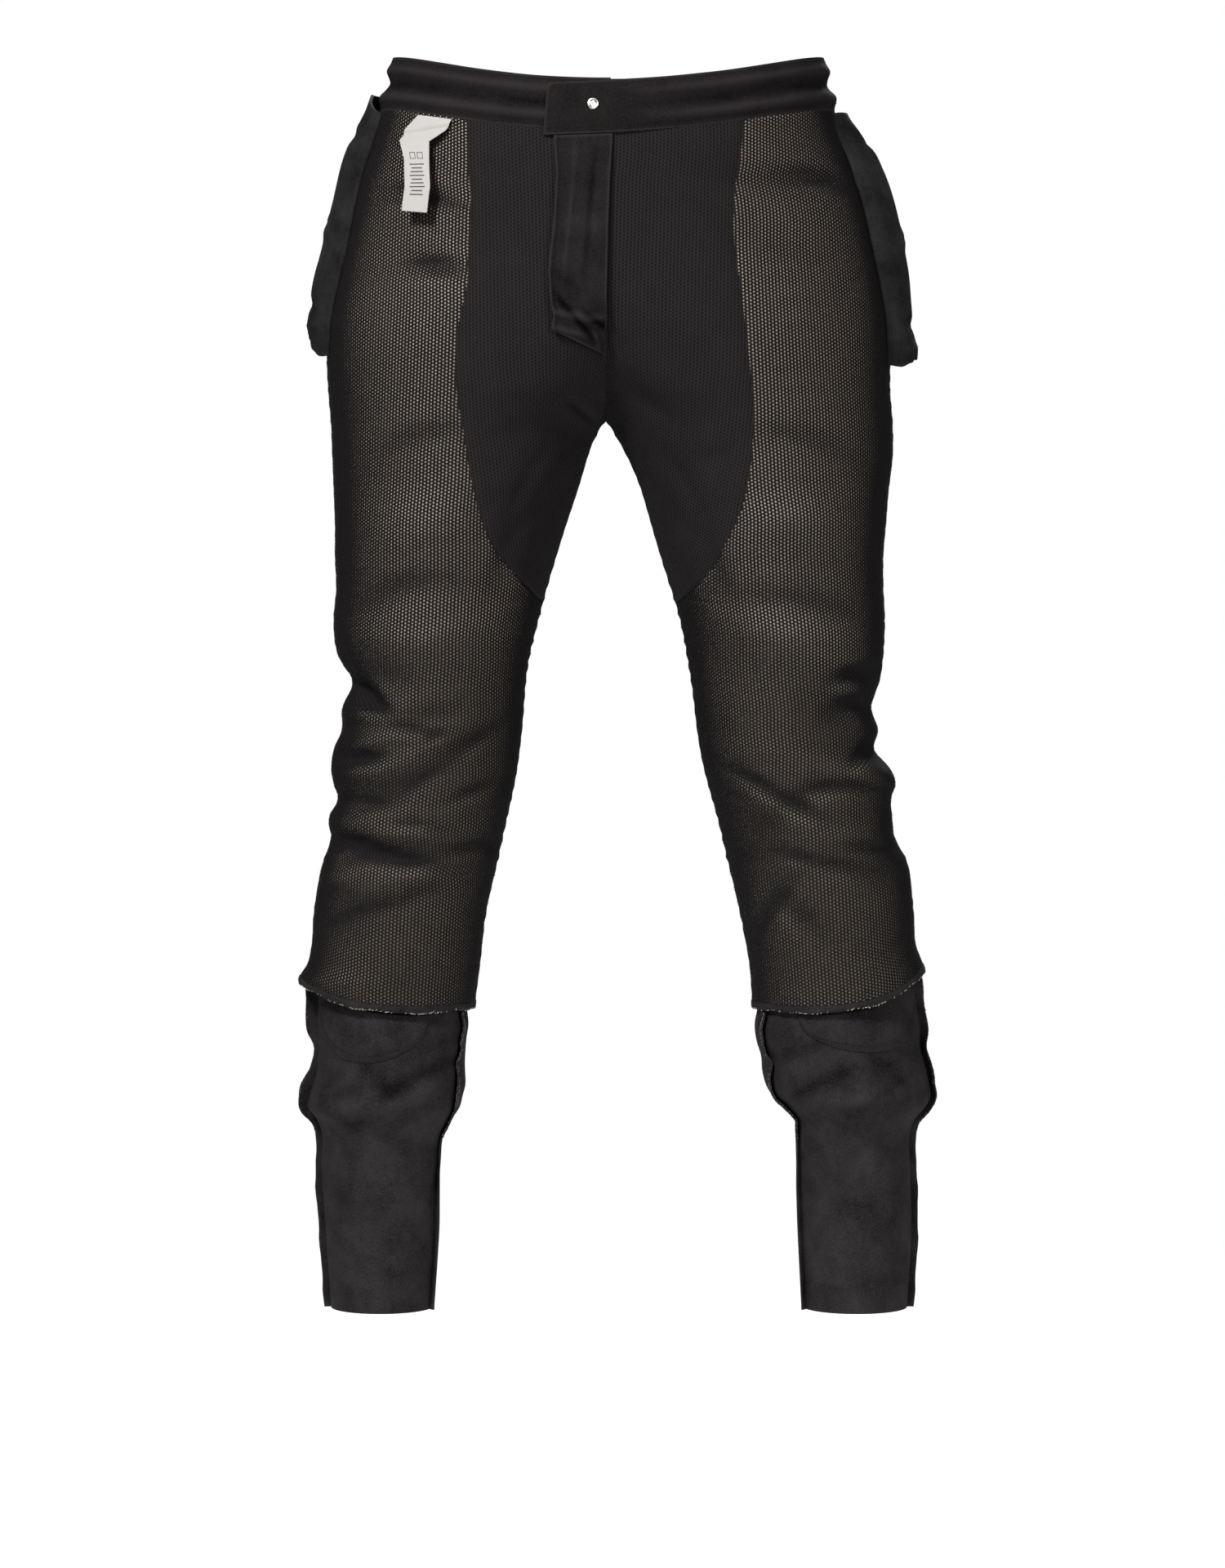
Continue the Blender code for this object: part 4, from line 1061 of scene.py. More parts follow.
# %% Seam allowances
OUTSEAM_ALLOWANCE = table(
    "drop width_left lean_left width_right lean_right",
    (692, 9.5, 6, 6, -10), (712, 9.5, -8, 6, 20), (731, 7, -72, 7, 58), (748, 6, -40, 8, 62),
    (762, 8, 5, 8, 66), (774, 7, 20, 6, 50), (790, 5, 10, 5, 0), (840, 5, 0, 5, 0), (925, 5, 0, 5, 0),
)
INSEAM_ALLOWANCE = table(
    "drop width_left lean_left width_right lean_right",
    (702, 9, 72, 12, 76), (718, 9, 76, 13, 80), (738, 12, 80, 15, 82), (752, 15, 84, 13, 80),
    (764, 16, 82, 9, 76), (774, 11, 78, 8, 74), (790, 5, 60, 5, 60), (840, 5, 40, 5, 40),
    (925, 5, 40, 5, 40),
)
OUTSEAM_TURN = 0
INSEAM_TURN = 160
FLANGE_WALL = 1.7
ROOT_SUNK = 3.0


def flange_points(side, turn, chart, drops, share, deep=0.0):
    """A point of a flange: the share runs from root to free edge, and deep is off its middle layer."""
    wave = np.sin(drops / 6.3 + turn) * 0.5 + np.sin(drops / 3.1 + 1) * 0.2
    width = read(chart, f"width_{side}", drops)[:, None] + wave[:, None] * 0.8
    lean = np.radians(read(chart, f"lean_{side}", drops) + wave * 7)[:, None]
    out = cloth_normal(SHIN, side, np.full(drops.shape, float(turn)), drops)
    forward = cloth_point(SHIN, side, turn + 1, drops) - cloth_point(SHIN, side, turn - 1, drops)
    forward *= -np.sign(forward[:, 1:2]) / np.linalg.norm(forward, axis=1, keepdims=True)
    way = out * np.cos(lean) + forward * np.sin(lean)
    aside = forward * np.cos(lean) - out * np.sin(lean)
    root = cloth(SHIN, side, turn, drops, 0.2) + out * np.abs(np.sin(lean)) * FLANGE_WALL / 2
    root -= out * ROOT_SUNK * (share == 0)
    return root + way * width * share + aside * deep, way, aside


def make_flange(name, side, turn, chart):
    drops = finer(shin_drop(side, turn, SHIN_LEVELS[1:]), 6)
    drops[0] += 0.5
    shares = (0, 0.04, 0.2, 0.4, 0.6, 0.8, 1)
    outside, inside = [], []
    for share in shares:
        thin = FLANGE_WALL / 2 * (1 - 0.35 * share**4)
        outside.append(flange_points(side, turn, chart, drops, share, thin)[0])
        inside.append(flange_points(side, turn, chart, drops, share, -thin)[0])
    grids = np.stack(outside, axis=1), np.stack(inside, axis=1)
    return cloth_piece(wall_from_grids(f"{name}_cloth", *grids, raw_denim), "denim", name)


flanges = []
for side in SIDES:
    flanges.append(make_flange(f"outseam_{side}", side, OUTSEAM_TURN, OUTSEAM_ALLOWANCE))
    flanges.append(make_flange(f"inseam_{side}", side, INSEAM_TURN, INSEAM_ALLOWANCE))
print("flanges:", [round(area_of(piece), 4) for piece in flanges])

# %% [markdown]
# The waistband is one folded strip of denim. Two soft ridges run along it where its turned edges lie, and its
# upper end laps over the under end at the front. There it is flat and thick, with stitches across its end.

# %% Waistband
WAISTBAND_OUT = 0.7
WAISTBAND_RIDGE = 2.9
WAISTBAND_GROOVE = 1.3
WAISTBAND_WALL = 3.2
FLAP_RISE = 3.3
FLAP_RISE_SPAN = (28, 25)
RIDGE_WEAR_AND_HIGHLIGHT = 0.6
GROOVE_SHADE = 0.25
GROOVE_SHARE = 0.52
UPPER_END_STATION = -13.2
UNDER_END_STATION = 361


def band_edges(turn):
    """The drops of the waistband's rim and of its seam."""
    return around(WAIST_RIM, turn, WAIST_RIM_POWER), around(WAIST_SEAM, turn, WAIST_SEAM_POWER)


def band_point(station, share, out):
    """Points of the waistband: stations run from its upper end round by the right to its under end."""
    station, share = np.broadcast_arrays(np.asarray(station, float), np.asarray(share, float))
    lap = station > 180
    on_left = (lap | (station < 0)) & (station <= 360)
    turn = 90 - np.abs(station - 360 * lap)
    lean = np.where(lap, 0, flap_lean("right", 90 - station))
    rim, seam = band_edges(turn)
    start, span = FLAP_RISE_SPAN
    flap = np.where(lap, 0, np.clip((start - station) / span, 0, 1) ** 2)
    raised = WAISTBAND_OUT + FLAP_RISE * flap
    drop = rim * (1 - share) + seam * share + lean

    def at(lift):
        return np.where(on_left[..., None], *(cloth(LEG, side, turn, drop, lift) for side in SIDES))

    if out == 0:
        return at(raised - WAISTBAND_WALL + 0.1)
    ridges = WAISTBAND_RIDGE * np.sin(2 * np.pi * share) ** 4 * (1 - flap)
    rolled = -0.9 * (np.exp(-((share * 22) ** 2)) + np.exp(-(((1 - share) * 22) ** 2)))
    middle = GROOVE_SHARE + 0.03 * np.sin(station / 9) + 0.02 * np.sin(station / 4.1)
    groove = -WAISTBAND_GROOVE * (1 - flap) * np.exp(-(((share - middle) * 13) ** 2))
    wander = 0.35 * np.sin(station / 7.3) * np.sin(np.pi * share) + 0.22 * np.sin(station / 2.9 + 3 * share)
    seams = -0.5 * np.exp(-(((share - 0.93) * 40) ** 2)) - 0.35 * np.exp(-(((share - 0.06) * 40) ** 2))
    return at(raised + ridges + groove + rolled + wander * (1 - 0.7 * flap) + seams + out - 1)


def make_waistband():
    stations = np.linspace(UPPER_END_STATION, UNDER_END_STATION, 241)
    shares = np.linspace(0, 1, 29)[:, None]
    grids = [band_point(stations, shares, out) for out in (1, 0)]
    plain = np.clip((stations - 3) / 25, 0, 1)
    # Painted light: the ridges are painted paler, partly wear and partly a painted highlight, and the groove
    # darker as painted shade.
    ridges = RIDGE_WEAR_AND_HIGHLIGHT * np.sin(2 * np.pi * shares) ** 6
    worn = plain * (ridges - GROOVE_SHADE * np.exp(-(((shares - GROOVE_SHARE) * 11) ** 2)))
    piece = wall_from_grids("waistband_cloth", *grids, band_denim, worn=worn)
    cloth_piece(piece, "denim", "waistband")
    return piece


waistband = make_waistband()
print("waistband:", round(area_of(waistband) / 2, 4), "square metres on one face")

# %% [markdown]
# The fly shield hangs from the waistband behind the fly. It is a folded flap, creased by wear, with a piped
# left edge.

# %% Fly shield
FLY_SHIELD = table(
    "drop slope left right out",
    (46, -1.5, -38, 5, 3), (75, 0, -36, 3, 5), (110, 2, -38, 1.5, 6), (145, 6, -42, 1, 6.5),
    (165, 10, -41, 1, 7), (178, 14, -39, 0.5, 6), (188, 17, -40.5, 0, 5),
)
FLY_SHIELD_WALL = 2.6
SHIELD_WEAR_AND_SHADING = 0.22
# Each crease runs from one place to another, as shares across and down, with a width and a height.
SHIELD_CREASES = table(
    "across0 down0 across1 down1 width height",
    (0.02, 0.80, 0.6, 0.74, 0.035, 3.0), (0.12, 0.66, 0.75, 0.92, 0.035, -3.2),
    (0.6, 0.72, 1.0, 0.78, 0.03, -2.6), (0.45, 0.78, 0.95, 0.70, 0.03, 2.4),
    (0.0, 0.97, 0.6, 0.90, 0.03, 2.0), (0.35, 0.05, 0.25, 0.55, 0.05, 1.5),
    (0.7, 0.1, 0.62, 0.5, 0.05, -1.4), (0.2, 0.3, 0.9, 0.36, 0.04, 1.0),
    (0.75, 0.85, 0.85, 0.98, 0.04, 2.2), (0.1, 0.5, 0.5, 0.58, 0.04, -1.2),
)


def crease_height(chart, across, down):
    """The height of straight creases between two places each."""
    height = np.zeros(np.broadcast(across, down).shape)
    for across0, down0, across1, down1, width, size in zip(*chart.values()):
        run = np.array([across1 - across0, down1 - down0])
        length = np.hypot(*run)
        along = ((across - across0) * run[0] + (down - down0) * run[1]) / length**2
        off = ((across - across0) * run[1] - (down - down0) * run[0]) / length
        height += size * np.exp(-(((along - 0.5) / 0.55) ** 4)) * np.exp(-((off / width) ** 2))
    return height


def strip_point(chart, across, down, lift):
    """A point of a hanging strip: shares across and down it, and a lift off its own form."""
    count = len(chart["drop"])
    drop, slope, left, right, out = (
        np.interp(down * (count - 1), np.arange(count), chart[column])
        for column in ("drop", "slope", "left", "right", "out")
    )
    x = left * (1 - across) + right * across
    return front_point(LEG, x, drop + slope * across, out + lift)


def shield_folds(across, down):
    """The shield's creases, which fade out at the waistband."""
    return crease_height(SHIELD_CREASES, across, down) * np.clip(down * 6, 0, 1)


def make_fly_shield():
    columns, rows = np.linspace(0, 1, 33), np.linspace(0, 1, 61)
    across, down = np.meshgrid(columns, rows)
    piping = 1.1 * np.exp(-(((across - 0.03) / 0.035) ** 2))
    stitched = -0.45 * np.exp(-(((across - 0.1) / 0.02) ** 2))
    lift = shield_folds(across, down) + piping + stitched
    outside = strip_point(FLY_SHIELD, across, down, lift)
    inside = strip_point(FLY_SHIELD, across, down, lift * 0.8 - FLY_SHIELD_WALL + 0.3)
    # Painted light and shade: crease ridges are painted paler, partly wear, and crease troughs darker as
    # painted shade.
    worn = SHIELD_WEAR_AND_SHADING * np.clip(crease_height(SHIELD_CREASES, across, down), -2, 3)
    piece = wall_from_grids("fly_shield_cloth", outside, inside, shield_denim, worn=worn)
    cloth_piece(piece, "denim", "fly_shield")
    return piece


fly_shield = make_fly_shield()
print("fly shield:", round(area_of(fly_shield) / 2, 4), "square metres on one face")

# %% [markdown]
# The care label is a folded satin tape, sewn in at its top. It folds over, then hangs straight.

# %% Care label
CARE_LABEL = table(
    "drop slope left right out",
    (29, 4, -138, -113, 2.5), (40, 2, -146, -117, 5), (49, 1, -148, -127, 8), (63, 0, -144, -126, 10),
    (83, 0, -142.5, -124.5, 12), (101, 1.5, -144, -127, 13),
)


def make_care_label():
    columns, rows = np.linspace(0, 1, 17), np.linspace(0, 1, 61)
    across, down = np.meshgrid(columns, rows)
    folded = np.exp(-(((down - 0.3 + 0.16 * across) / 0.05) ** 2))
    bend = 0.7 * np.sin(down * 8 + across * 2) * down - 1.5 * folded
    outside = strip_point(CARE_LABEL, across, down, bend)
    inside = strip_point(CARE_LABEL, across, down, bend - 0.5)
    piece = wall_from_grids("care_label_tape", outside, inside, satin)
    cloth_piece(piece, "label_satin", "care_label")
    return piece


care_label = make_care_label()
print("care label:", round(area_of(care_label) / 2, 4), "square metres on one face")

# %% [markdown]
# Pulled out with the rest, the front pocket bags hang outside the hips. Each is two layers of thin cloth sewn
# round, so it hangs in long soft folds, pinched at its sewn edge.

# %% Pocket bags
POCKET_BAG = table(
    "drop left right",
    (0, 8, 6), (24, 9, 7), (38, 12, 12), (60, 12.5, 17), (85, 11.5, 19), (112, 12, 19), (144, 14, 18),
    (178, 14, 16), (195, 14.5, 18), (206, 14.5, 22), (215, 14, 22),
)
POCKET_BAG_TURNS = (13, -52)
POCKET_BAG_TOP = {"left": 12, "right": 25}
POCKET_BAG_END = {"left": (206, 192), "right": (213, 207)}
POCKET_BAG_CORNER_SHARE = 0.25
POCKET_BAG_TUCK = 0.12
POCKET_BAG_FRONT_OUT = 0.45
POCKET_BAG_WALL = 2.8
BAG_FOLD_STRENGTH = 2.1
BAG_WEAR_AND_SHADING = 0.09
BAG_FOLDS = table(
    "across0 down0 across1 down1 width height",
    (0.10, 0.05, 0.14, 0.75, 0.03, 1.6), (0.22, 0.0, 0.20, 0.95, 0.03, -1.8),
    (0.33, 0.2, 0.30, 1.0, 0.035, 1.5), (0.45, 0.05, 0.5, 0.8, 0.04, -1.5),
    (0.62, 0.1, 0.6, 0.9, 0.04, 1.4), (0.8, 0.1, 0.78, 0.8, 0.04, -1.2),
    (0.0, 0.12, 0.5, 0.22, 0.03, -1.3), (0.05, 0.55, 0.4, 0.5, 0.03, 0.9),
    (0.05, 0.84, 0.6, 0.9, 0.025, -1.2),
)


def bag_grid(side, across, down, lift):
    turns = POCKET_BAG_TURNS[0] * (1 - across) + POCKET_BAG_TURNS[1] * across
    seam = panel_top(side, turns) + 2
    lifted = np.clip(np.minimum(across, 1 - across) / POCKET_BAG_CORNER_SHARE, 0, 1)
    top = seam * (1 - lifted) + POCKET_BAG_TOP[side] * lifted
    front_end, side_end = POCKET_BAG_END[side]
    end = front_end + (side_end - front_end) * np.minimum(across / POCKET_BAG_CORNER_SHARE, 1)
    end = end + 1.6 * np.sin(across * 27) + 0.9 * np.sin(across * 61)
    drops = top * (1 - down) + end * down
    bulge = np.maximum(np.sin(np.pi * across**0.65), 0) ** 0.7
    stand_off = read(POCKET_BAG, side, drops) * bulge
    out = POCKET_BAG_FRONT_OUT + POCKET_BAG_WALL + stand_off * (1 - POCKET_BAG_TUCK * down**8) + lift
    return cloth(LEG, side, turns, drops, out, creased=False)


def bag_folds(across, down):
    """The bag's folds, and how free the cloth is: 0 where it is sewn and 1 away from there."""
    free = np.clip(np.minimum(across, 1 - across) * 9, 0, 1) * np.clip(down * 8, 0, 1)
    return BAG_FOLD_STRENGTH * crease_height(BAG_FOLDS, across, down) * free, free


def make_pocket_bag(side):
    across, down = np.meshgrid(np.linspace(0, 1, 61), np.linspace(0, 1, 73))
    folds, free = bag_folds(across, down)
    rolled = -1.1 * np.exp(-(((1 - down) * 28) ** 2)) - 0.6 * np.exp(-((across * 40) ** 2))
    hemmed = 0.8 * np.exp(-(((1 - down - 0.05) / 0.02) ** 2)) + 0.8 * np.exp(-(((across - 0.09) / 0.02) ** 2))
    outside = bag_grid(side, across, down, (folds + rolled) * 0.9 + hemmed * free - 0.3)
    inside = bag_grid(side, across, down, folds * 0.5 * free - POCKET_BAG_WALL + 0.2)
    name = f"pocket_bag_{side}"
    # Painted light and shade: fold ridges are painted paler, partly wear, and fold troughs darker as painted
    # shade.
    piece = wall_from_grids(f"{name}_cloth", outside, inside, pocket_cloth, worn=BAG_WEAR_AND_SHADING * folds)
    cloth_piece(piece, "pocket_cloth", name)
    return piece


pocket_bags = [make_pocket_bag(side) for side in SIDES]
print("pocket bags:", [round(area_of(piece) / 2, 4) for piece in pocket_bags])

# %% [markdown]
# The waist button's back is a small plated disc with a rolled rim, and its tack shows as a bar across the
# middle. A turned profile makes the disc.

# %% Button back
BUTTON_PLACE = {"across": -7.2, "drop": 23}
BUTTON_PROFILE = (
    (0.0, 0.55), (1.0, 0.6), (1.9, 0.62), (2.4, 0.8), (2.9, 1.2), (3.4, 1.38), (3.9, 1.25), (4.2, 0.9),
    (4.3, 0.5), (4.2, 0.1), (3.6, 0.0), (0.0, 0.0),
)
BUTTON_SIDES = 48


def make_button_back():
    station = np.degrees(BUTTON_PLACE["across"] / read(OUTER_EDGE, "left", BUTTON_PLACE["drop"]))
    turn = 90 + station
    rim, seam = band_edges(turn)
    share = (BUTTON_PLACE["drop"] - rim - flap_lean("right", 90 - station)) / (seam - rim)
    seat = band_point(station, share, 1)
    out = cloth_normal(LEG, "left", turn, BUTTON_PLACE["drop"])
    across = np.cross(out, [0.0, 0.0, 1.0])
    across /= np.linalg.norm(across)
    up = np.cross(across, out)
    points, faces = [], []
    angles = np.linspace(0, 2 * np.pi, BUTTON_SIDES, endpoint=False)
    for radius, rise in BUTTON_PROFILE:
        for angle in angles:
            # A shallow straight dent lies across the middle, where the tack was pressed.
            sideways = radius * np.cos(angle)
            dent = 0.35 * np.exp(-((sideways / 0.55) ** 2)) * (radius < 2.3) * (rise > 0.3)
            spot = seat + out * (0.25 + rise + dent)
            points.append(spot + across * sideways + up * radius * np.sin(angle))
    for ring in range(len(BUTTON_PROFILE) - 1):
        for corner in range(BUTTON_SIDES):
            after = (corner + 1) % BUTTON_SIDES
            low, high = ring * BUTTON_SIDES, (ring + 1) * BUTTON_SIDES
            faces.append((low + corner, low + after, high + after, high + corner))
    mesh = bpy.data.meshes.new("button_back_disc")
    mesh.from_pydata((np.array(points) * MM).tolist(), [], faces)
    body = bmesh.new()
    body.from_mesh(mesh)
    bmesh.ops.remove_doubles(body, verts=body.verts, dist=1e-6)
    bmesh.ops.recalc_face_normals(body, faces=body.faces)
    body.to_mesh(mesh)
    body.free()
    mesh.shade_smooth()
    mesh.set_sharp_from_angle(angle=np.radians(60))
    mesh.materials.append(metal)
    piece = bpy.data.objects.new("button_back_disc", mesh)
    bpy.context.scene.collection.objects.link(piece)
    return cloth_piece(piece, "button_metal", "button_back")


button_back = make_button_back()
print("button back:", len(button_back.data.polygons), "faces")

# %% [markdown]
# Stitches repeat along their seams, so Geometry Nodes make them. The script gives a point for each stitch,
# with the way that it runs and the way out of the cloth. The tree puts one small thread shape on each point,
# turned to both ways, at the length and thickness of its named inputs.


# %% Stitch tree
def stitch_tree():
    tree = bpy.data.node_groups.new("stitches", "GeometryNodeTree")
    tree.is_modifier = True
    sockets = tree.interface
    sockets.new_socket("Geometry", in_out="INPUT", socket_type="NodeSocketGeometry")
    for name, value in (("Stitch length", 0.0026), ("Thread thickness", 0.0006)):
        made = sockets.new_socket(name, in_out="INPUT", socket_type="NodeSocketFloat")
        made.default_value = value
    sockets.new_socket("Thread", in_out="INPUT", socket_type="NodeSocketMaterial")
    sockets.new_socket("Geometry", in_out="OUTPUT", socket_type="NodeSocketGeometry")
    nodes, links = tree.nodes, tree.links
    given, result = nodes.new("NodeGroupInput"), nodes.new("NodeGroupOutput")

    def named(name):
        made = nodes.new("GeometryNodeInputNamedAttribute")
        made.data_type = "FLOAT_VECTOR"
        made.inputs["Name"].default_value = name
        return made.outputs["Attribute"]

    def turned(axis, pivot, vector, rotation=None):
        made = nodes.new("FunctionNodeAlignEulerToVector")
        made.axis, made.pivot_axis = axis, pivot
        links.new(vector, made.inputs["Vector"])
        if rotation:
            links.new(rotation, made.inputs["Rotation"])
        return made.outputs["Rotation"]

    rotation = turned("Z", "X", named("out_way"), turned("X", "AUTO", named("along_way")))
    bead = nodes.new("GeometryNodeMeshUVSphere")
    bead.inputs["Segments"].default_value = 6
    bead.inputs["Rings"].default_value = 4
    bead.inputs["Radius"].default_value = 0.5
    size = nodes.new("ShaderNodeCombineXYZ")
    links.new(given.outputs["Stitch length"], size.inputs["X"])
    links.new(given.outputs["Thread thickness"], size.inputs["Y"])
    links.new(given.outputs["Thread thickness"], size.inputs["Z"])
    turn_bead = nodes.new("GeometryNodeTransform")
    turn_bead.inputs["Rotation"].default_value = (0, np.pi / 2, 0)
    links.new(bead.outputs["Mesh"], turn_bead.inputs["Geometry"])
    place = nodes.new("GeometryNodeInstanceOnPoints")
    links.new(given.outputs["Geometry"], place.inputs["Points"])
    links.new(turn_bead.outputs["Geometry"], place.inputs["Instance"])
    links.new(rotation, place.inputs["Rotation"])
    links.new(size.outputs["Vector"], place.inputs["Scale"])
    real, paint = nodes.new("GeometryNodeRealizeInstances"), nodes.new("GeometryNodeSetMaterial")
    links.new(place.outputs["Instances"], real.inputs["Geometry"])
    links.new(real.outputs["Geometry"], paint.inputs["Geometry"])
    links.new(given.outputs["Thread"], paint.inputs["Material"])
    links.new(paint.outputs["Geometry"], result.inputs["Geometry"])
    return tree


stitches = stitch_tree()
socket_of = {item.name: item.identifier for item in stitches.interface.items_tree if item.in_out == "INPUT"}
print("stitch tree:", sorted(socket_of))


# %% Sewing a row
def sew(name, slot, places, along, out, length, thickness, thread):
    """Stitches at places in millimetres, as one plain mesh."""
    points = bpy.data.meshes.new(f"{name}_points")
    points.from_pydata((np.asarray(places) * MM).tolist(), [], [])
    for key, ways in (("along_way", along), ("out_way", out)):
        layer = points.attributes.new(key, "FLOAT_VECTOR", "POINT")
        layer.data.foreach_set("vector", np.asarray(ways, np.float32).ravel())
    holder = bpy.data.objects.new(f"{name}_holder", points)
    bpy.context.scene.collection.objects.link(holder)
    modifier = holder.modifiers.new("stitches", "NODES")
    modifier.node_group = stitches
    modifier[socket_of["Stitch length"]] = length * MM
    modifier[socket_of["Thread thickness"]] = thickness * MM
    modifier[socket_of["Thread"]] = thread
    graph = bpy.context.evaluated_depsgraph_get()
    mesh = bpy.data.meshes.new_from_object(holder.evaluated_get(graph))
    mesh.shade_smooth()
    bpy.data.objects.remove(holder)
    piece = bpy.data.objects.new(name, mesh)
    bpy.context.scene.collection.objects.link(piece)
    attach(piece, "root")
    return piece


def evenly(line, pitch):
    """Places an even pitch apart on a line of points, with the way that the line runs there."""
    line = np.asarray(line, float)
    run = np.insert(np.cumsum(np.linalg.norm(np.diff(line, axis=0), axis=1)), 0, 0)
    at = np.arange(pitch / 2, run[-1], pitch)
    places = np.stack([np.interp(at, run, line[:, axis]) for axis in range(3)], axis=1)
    ahead = np.stack([np.interp(at + 0.3, run, line[:, axis]) for axis in range(3)], axis=1)
    before = np.stack([np.interp(at - 0.3, run, line[:, axis]) for axis in range(3)], axis=1)
    way = ahead - before
    return places, way / np.linalg.norm(way, axis=1, keepdims=True)


def set_out(line, raised, pitch):
    """Places on a line, its way there, and the way out, towards a line of points a little further out."""
    spots, ways = evenly(line, pitch)
    outs = evenly(raised, pitch)[0]
    count = min(len(spots), len(outs))
    spots, ways, outs = spots[:count], ways[:count], outs[:count] - spots[:count]
    outs = outs - np.sum(outs * ways, axis=1, keepdims=True) * ways
    outs /= np.linalg.norm(outs, axis=1, keepdims=True) + 1e-9
    return spots, ways, outs


def sew_lines(name, slot, lines, pitch, length, thickness, thread):
    """Rows of stitches: each line is a pair, the places and the points a little further out."""
    rows = [set_out(line, raised, pitch) for line, raised in lines]
    parts = [np.concatenate(part) for part in zip(*rows)]
    return sew(name, slot, *parts, length, thickness, thread)


def band_row(stations, shares):
    return band_point(stations, shares, 1.15), band_point(stations, shares, 2.15)


round_waist = np.linspace(UPPER_END_STATION + 0.6, UNDER_END_STATION - 0.6, 420)
waist_rows = [band_row(round_waist, share) for share in (0.84, 0.93, 0.06)]
waist_rows.append(band_row(UPPER_END_STATION + 0.9, np.linspace(0.03, 0.97, 60)))
waist_stitches = sew_lines("waistband_stitches", "denim", waist_rows, 3.1, 2.5, 0.55, black_thread)
print("waistband stitches:", len(waist_stitches.data.polygons), "faces")


# %% Stitches of the shin, the shield and the bags
def knee_rows(side):
    lines = []
    for down in (0.86, 0.95):
        shares = np.linspace(-0.97, 0.97, 160)
        turns, drops = knee_pocket_place(side, shares, down)
        lines.append(tuple(cloth(SHIN, side, turns, drops, out) for out in (1.75, 2.75)))
    return lines


def shield_rows():
    lines = []
    rows = np.linspace(0.03, 0.97, 90)
    for across in (0.1, 0.93):
        height = shield_folds(across, rows)
        lines.append(tuple(strip_point(FLY_SHIELD, across, rows, height + extra) for extra in (-0.1, 0.9)))
    return lines


def bag_rows(side):
    lines = []
    for across, down in (
        (np.linspace(0.09, 0.95, 120), np.full(120, 0.95)),
        (np.full(120, 0.09), np.linspace(0.12, 0.95, 120)),
    ):
        folds, free = bag_folds(across, down)
        lift = folds * 0.9 + 0.8 * free
        lines.append(tuple(bag_grid(side, across, down, lift + extra) for extra in (-0.05, 0.95)))
    return lines


for side in SIDES:
    sew_lines(f"knee_pocket_stitches_{side}", "denim", knee_rows(side), 2.9, 2.3, 0.5, black_thread)
    sew_lines(f"pocket_bag_stitches_{side}", "pocket_cloth", bag_rows(side), 3.0, 2.4, 0.45, black_thread)
sew_lines("fly_shield_stitches", "denim", shield_rows(), 2.9, 2.3, 0.5, black_thread)
print("sewn: knee pockets, pocket bags and shield")

# %% [markdown]
# Raw edges are bound by overlock yarn, small slanting loops side by side. The loops are black with cream or
# grey ones among them. A fixed seed picks which are which.


# %% Overlock
OVERLOCK_TILT = 38


def overlock(name, slot, lines, pitch, length, thickness, pale_share, pale, seed):
    """Slanting loops along a line of pairs, in two threads."""
    chance = np.random.default_rng(seed)
    for thread, keep_pale in ((black_thread, False), (pale, True)):
        rows = []
        for line, raised in lines:
            spots, ways, outs = set_out(line, raised, pitch)
            aside = np.cross(outs, ways)
            count = len(spots)
            patch = np.sin(np.arange(count) * pitch / 9.0 + seed) * 0.5 + 0.5
            is_pale = chance.random(count) < pale_share * (0.4 + 1.2 * patch)
            tilt = np.radians(OVERLOCK_TILT + chance.normal(0, 14, count))[:, None]
            chosen = is_pale == keep_pale
            placed = spots + aside * chance.normal(0, 0.25, (count, 1))
            turned = ways * np.cos(tilt) + aside * np.sin(tilt)
            rows.append((placed[chosen], turned[chosen], outs[chosen]))
        parts = [np.concatenate(part) for part in zip(*rows)]
        sew(f"{name}_{'pale' if keep_pale else 'dark'}", slot, *parts, length, thickness, thread)


def hem_lines(side):
    turns, _, edge = hem_round(side, np.linspace(0, 360, 500))
    return [tuple(cloth(LEG, side, turns, edge - 0.6, out) for out in (0.7, 1.7))]


def lining_seam_lines(side):
    lines = []
    for turn, top in ((0, 60), (180, FORK_DROP + 16)):
        drops = np.arange(top, HEM_LEVEL - 6.0, 1.0)
        out = seam_pucker(drops) * (PUCKER_AT_OUTSEAM if turn == 0 else 1) - SEAM_DIP + MESH_OUT
        drops = level_drop(side, float(turn), drops)
        lines.append(tuple(cloth(LEG, side, float(turn), drops, out + extra) for extra in (0.1, 1.1)))
    return lines


def flange_lines(side, turn, chart):
    drops = finer(shin_drop(side, turn, SHIN_LEVELS[1:]), 12)
    drops = drops[drops < 800]
    lines = []
    for deep in (FLANGE_WALL / 2 - 0.1, -FLANGE_WALL / 2 + 0.1):
        spots, _, aside = flange_points(side, turn, chart, drops, 0.9, deep)
        lines.append((spots, spots + aside * np.sign(deep)))
    return lines


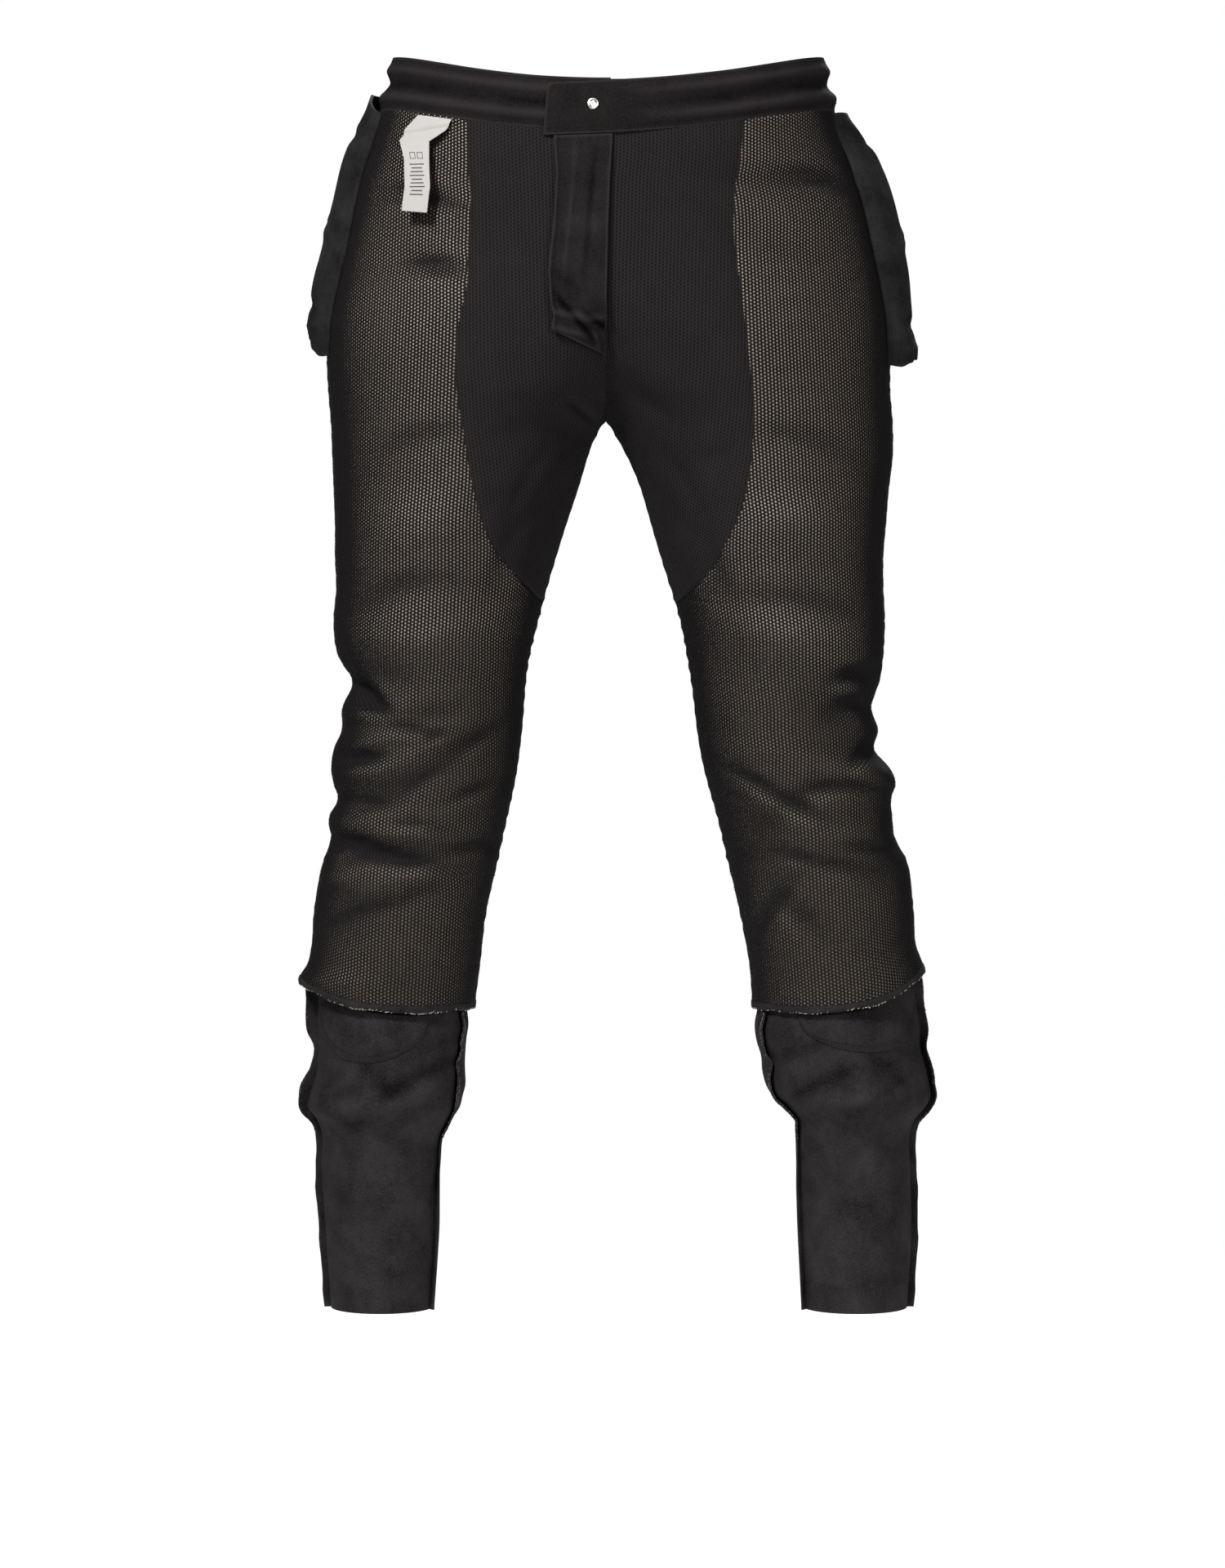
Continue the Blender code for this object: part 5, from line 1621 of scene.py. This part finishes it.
for side in SIDES:
    overlock(f"hem_overlock_{side}", "denim", hem_lines(side), 0.9, 1.5, 0.42, 0.36, cream_thread, 11)
    overlock(
        f"inner_overlock_{side}", "lined_mesh", lining_seam_lines(side),
        1.5, 1.5, 0.45, 0.22, grey_thread, 14,
    )
    overlock(
        f"outseam_overlock_{side}", "denim", flange_lines(side, OUTSEAM_TURN, OUTSEAM_ALLOWANCE),
        1.1, 1.6, 0.5, 0.18, grey_thread, 12,
    )
    overlock(
        f"inseam_overlock_{side}", "denim", flange_lines(side, INSEAM_TURN, INSEAM_ALLOWANCE),
        1.1, 1.7, 0.55, 0.5, grey_thread, 13,
    )
print("overlocked: hems and allowances")

# %% [markdown]
# A pale floor, soft light from large panels and a camera at the photograph's angle finish the scene. The
# camera stands at hip height, nearly five metres away. The floor fades into the pale backdrop.

# %% Floor, light and camera
FLOOR_DROP = 1.07
FLOOR_REACH = 1.7
FLOOR_FADE = 0.5
corners = [(x * FLOOR_REACH, y * FLOOR_REACH, -FLOOR_DROP) for x, y in ((-1, -1), (1, -1), (1, 1), (-1, 1))]
floor_mesh = bpy.data.meshes.new("floor")
floor_mesh.from_pydata(corners, [], [(0, 1, 2, 3)])
floor = bpy.data.objects.new("floor", floor_mesh)
bpy.context.scene.collection.objects.link(floor)
floor_paint = Paint("pale_floor")
x, y = (floor_paint.position(axis) for axis in (0, 1))
reach = (x * x + y * y).math("SQRT")
floor_mesh.materials.append(floor_paint.finish(
    Base_Color=(0.8, 0.8, 0.8, 1), Roughness=0.9, Emission_Color=(1, 1, 1, 1), Emission_Strength=0.45,
    Alpha=1 - reach.step(FLOOR_FADE, FLOOR_REACH * 0.95),
))
floor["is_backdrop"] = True

world = bpy.data.worlds.new("studio")
world.use_nodes = True
sky = world.node_tree
sky.nodes["Background"].inputs["Color"].default_value = (1, 1, 1, 1)
sky.nodes["Background"].inputs["Strength"].default_value = 0.14
backdrop, seen, either = (
    sky.nodes.new(kind) for kind in ("ShaderNodeBackground", "ShaderNodeLightPath", "ShaderNodeMixShader")
)
backdrop.inputs["Color"].default_value = (1, 1, 1, 1)
sky.links.new(seen.outputs["Is Camera Ray"], either.inputs["Fac"])
sky.links.new(sky.nodes["Background"].outputs["Background"], either.inputs[1])
sky.links.new(backdrop.outputs["Background"], either.inputs[2])
sky.links.new(either.outputs["Shader"], sky.nodes["World Output"].inputs["Surface"])
bpy.context.scene.world = world


def soft_panel(name, place, aim, size, power):
    lamp = bpy.data.lights.new(name, "AREA")
    lamp.shape = "RECTANGLE"
    lamp.size, lamp.size_y = size
    lamp.energy = power
    thing = bpy.data.objects.new(name, lamp)
    thing.location = place
    thing.rotation_euler = (Vector(aim) - Vector(place)).to_track_quat("-Z", "Y").to_euler()
    bpy.context.scene.collection.objects.link(thing)
    return thing


soft_panel("key", (-1.3, -2.1, 1.7), (0, 0, -0.35), (0.6, 0.6), 138)
soft_panel("fill", (1.5, -2.8, 0.3), (0, 0, -0.4), (0.9, 1.2), 50)
soft_panel("left side", (-3.0, 0.6, 0.9), (0, 0, -0.4), (1.0, 1.4), 12)
soft_panel("right side", (3.0, 0.6, 0.9), (0, 0, -0.4), (1.0, 1.4), 14)
soft_panel("back", (0.4, 2.7, 1.6), (0, 0, -0.4), (1.2, 1.0), 110)

FRAME_HEIGHT = 1.1904
SENSOR_HEIGHT = 24
camera_data = bpy.data.cameras.new("camera")
camera_data.sensor_fit = "VERTICAL"
camera_data.sensor_height = SENSOR_HEIGHT
camera_place, camera_aim = Vector((0.005, -4.7, -0.30)), Vector((0.005, 0.0, -0.530))
camera_data.lens = SENSOR_HEIGHT * (camera_aim - camera_place).length / FRAME_HEIGHT
camera = bpy.data.objects.new("camera", camera_data)
camera.location = camera_place
camera.rotation_euler = (camera_aim - camera_place).to_track_quat("-Z", "Y").to_euler()
bpy.context.scene.collection.objects.link(camera)
bpy.context.scene.camera = camera
bpy.context.scene.view_settings.view_transform = "Standard"
print("camera: lens", round(camera_data.lens, 1), "mm")

# %% Sizes and finish
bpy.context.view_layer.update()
total = sum(len(piece.data.polygons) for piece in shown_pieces())
print("faces in all:", total)
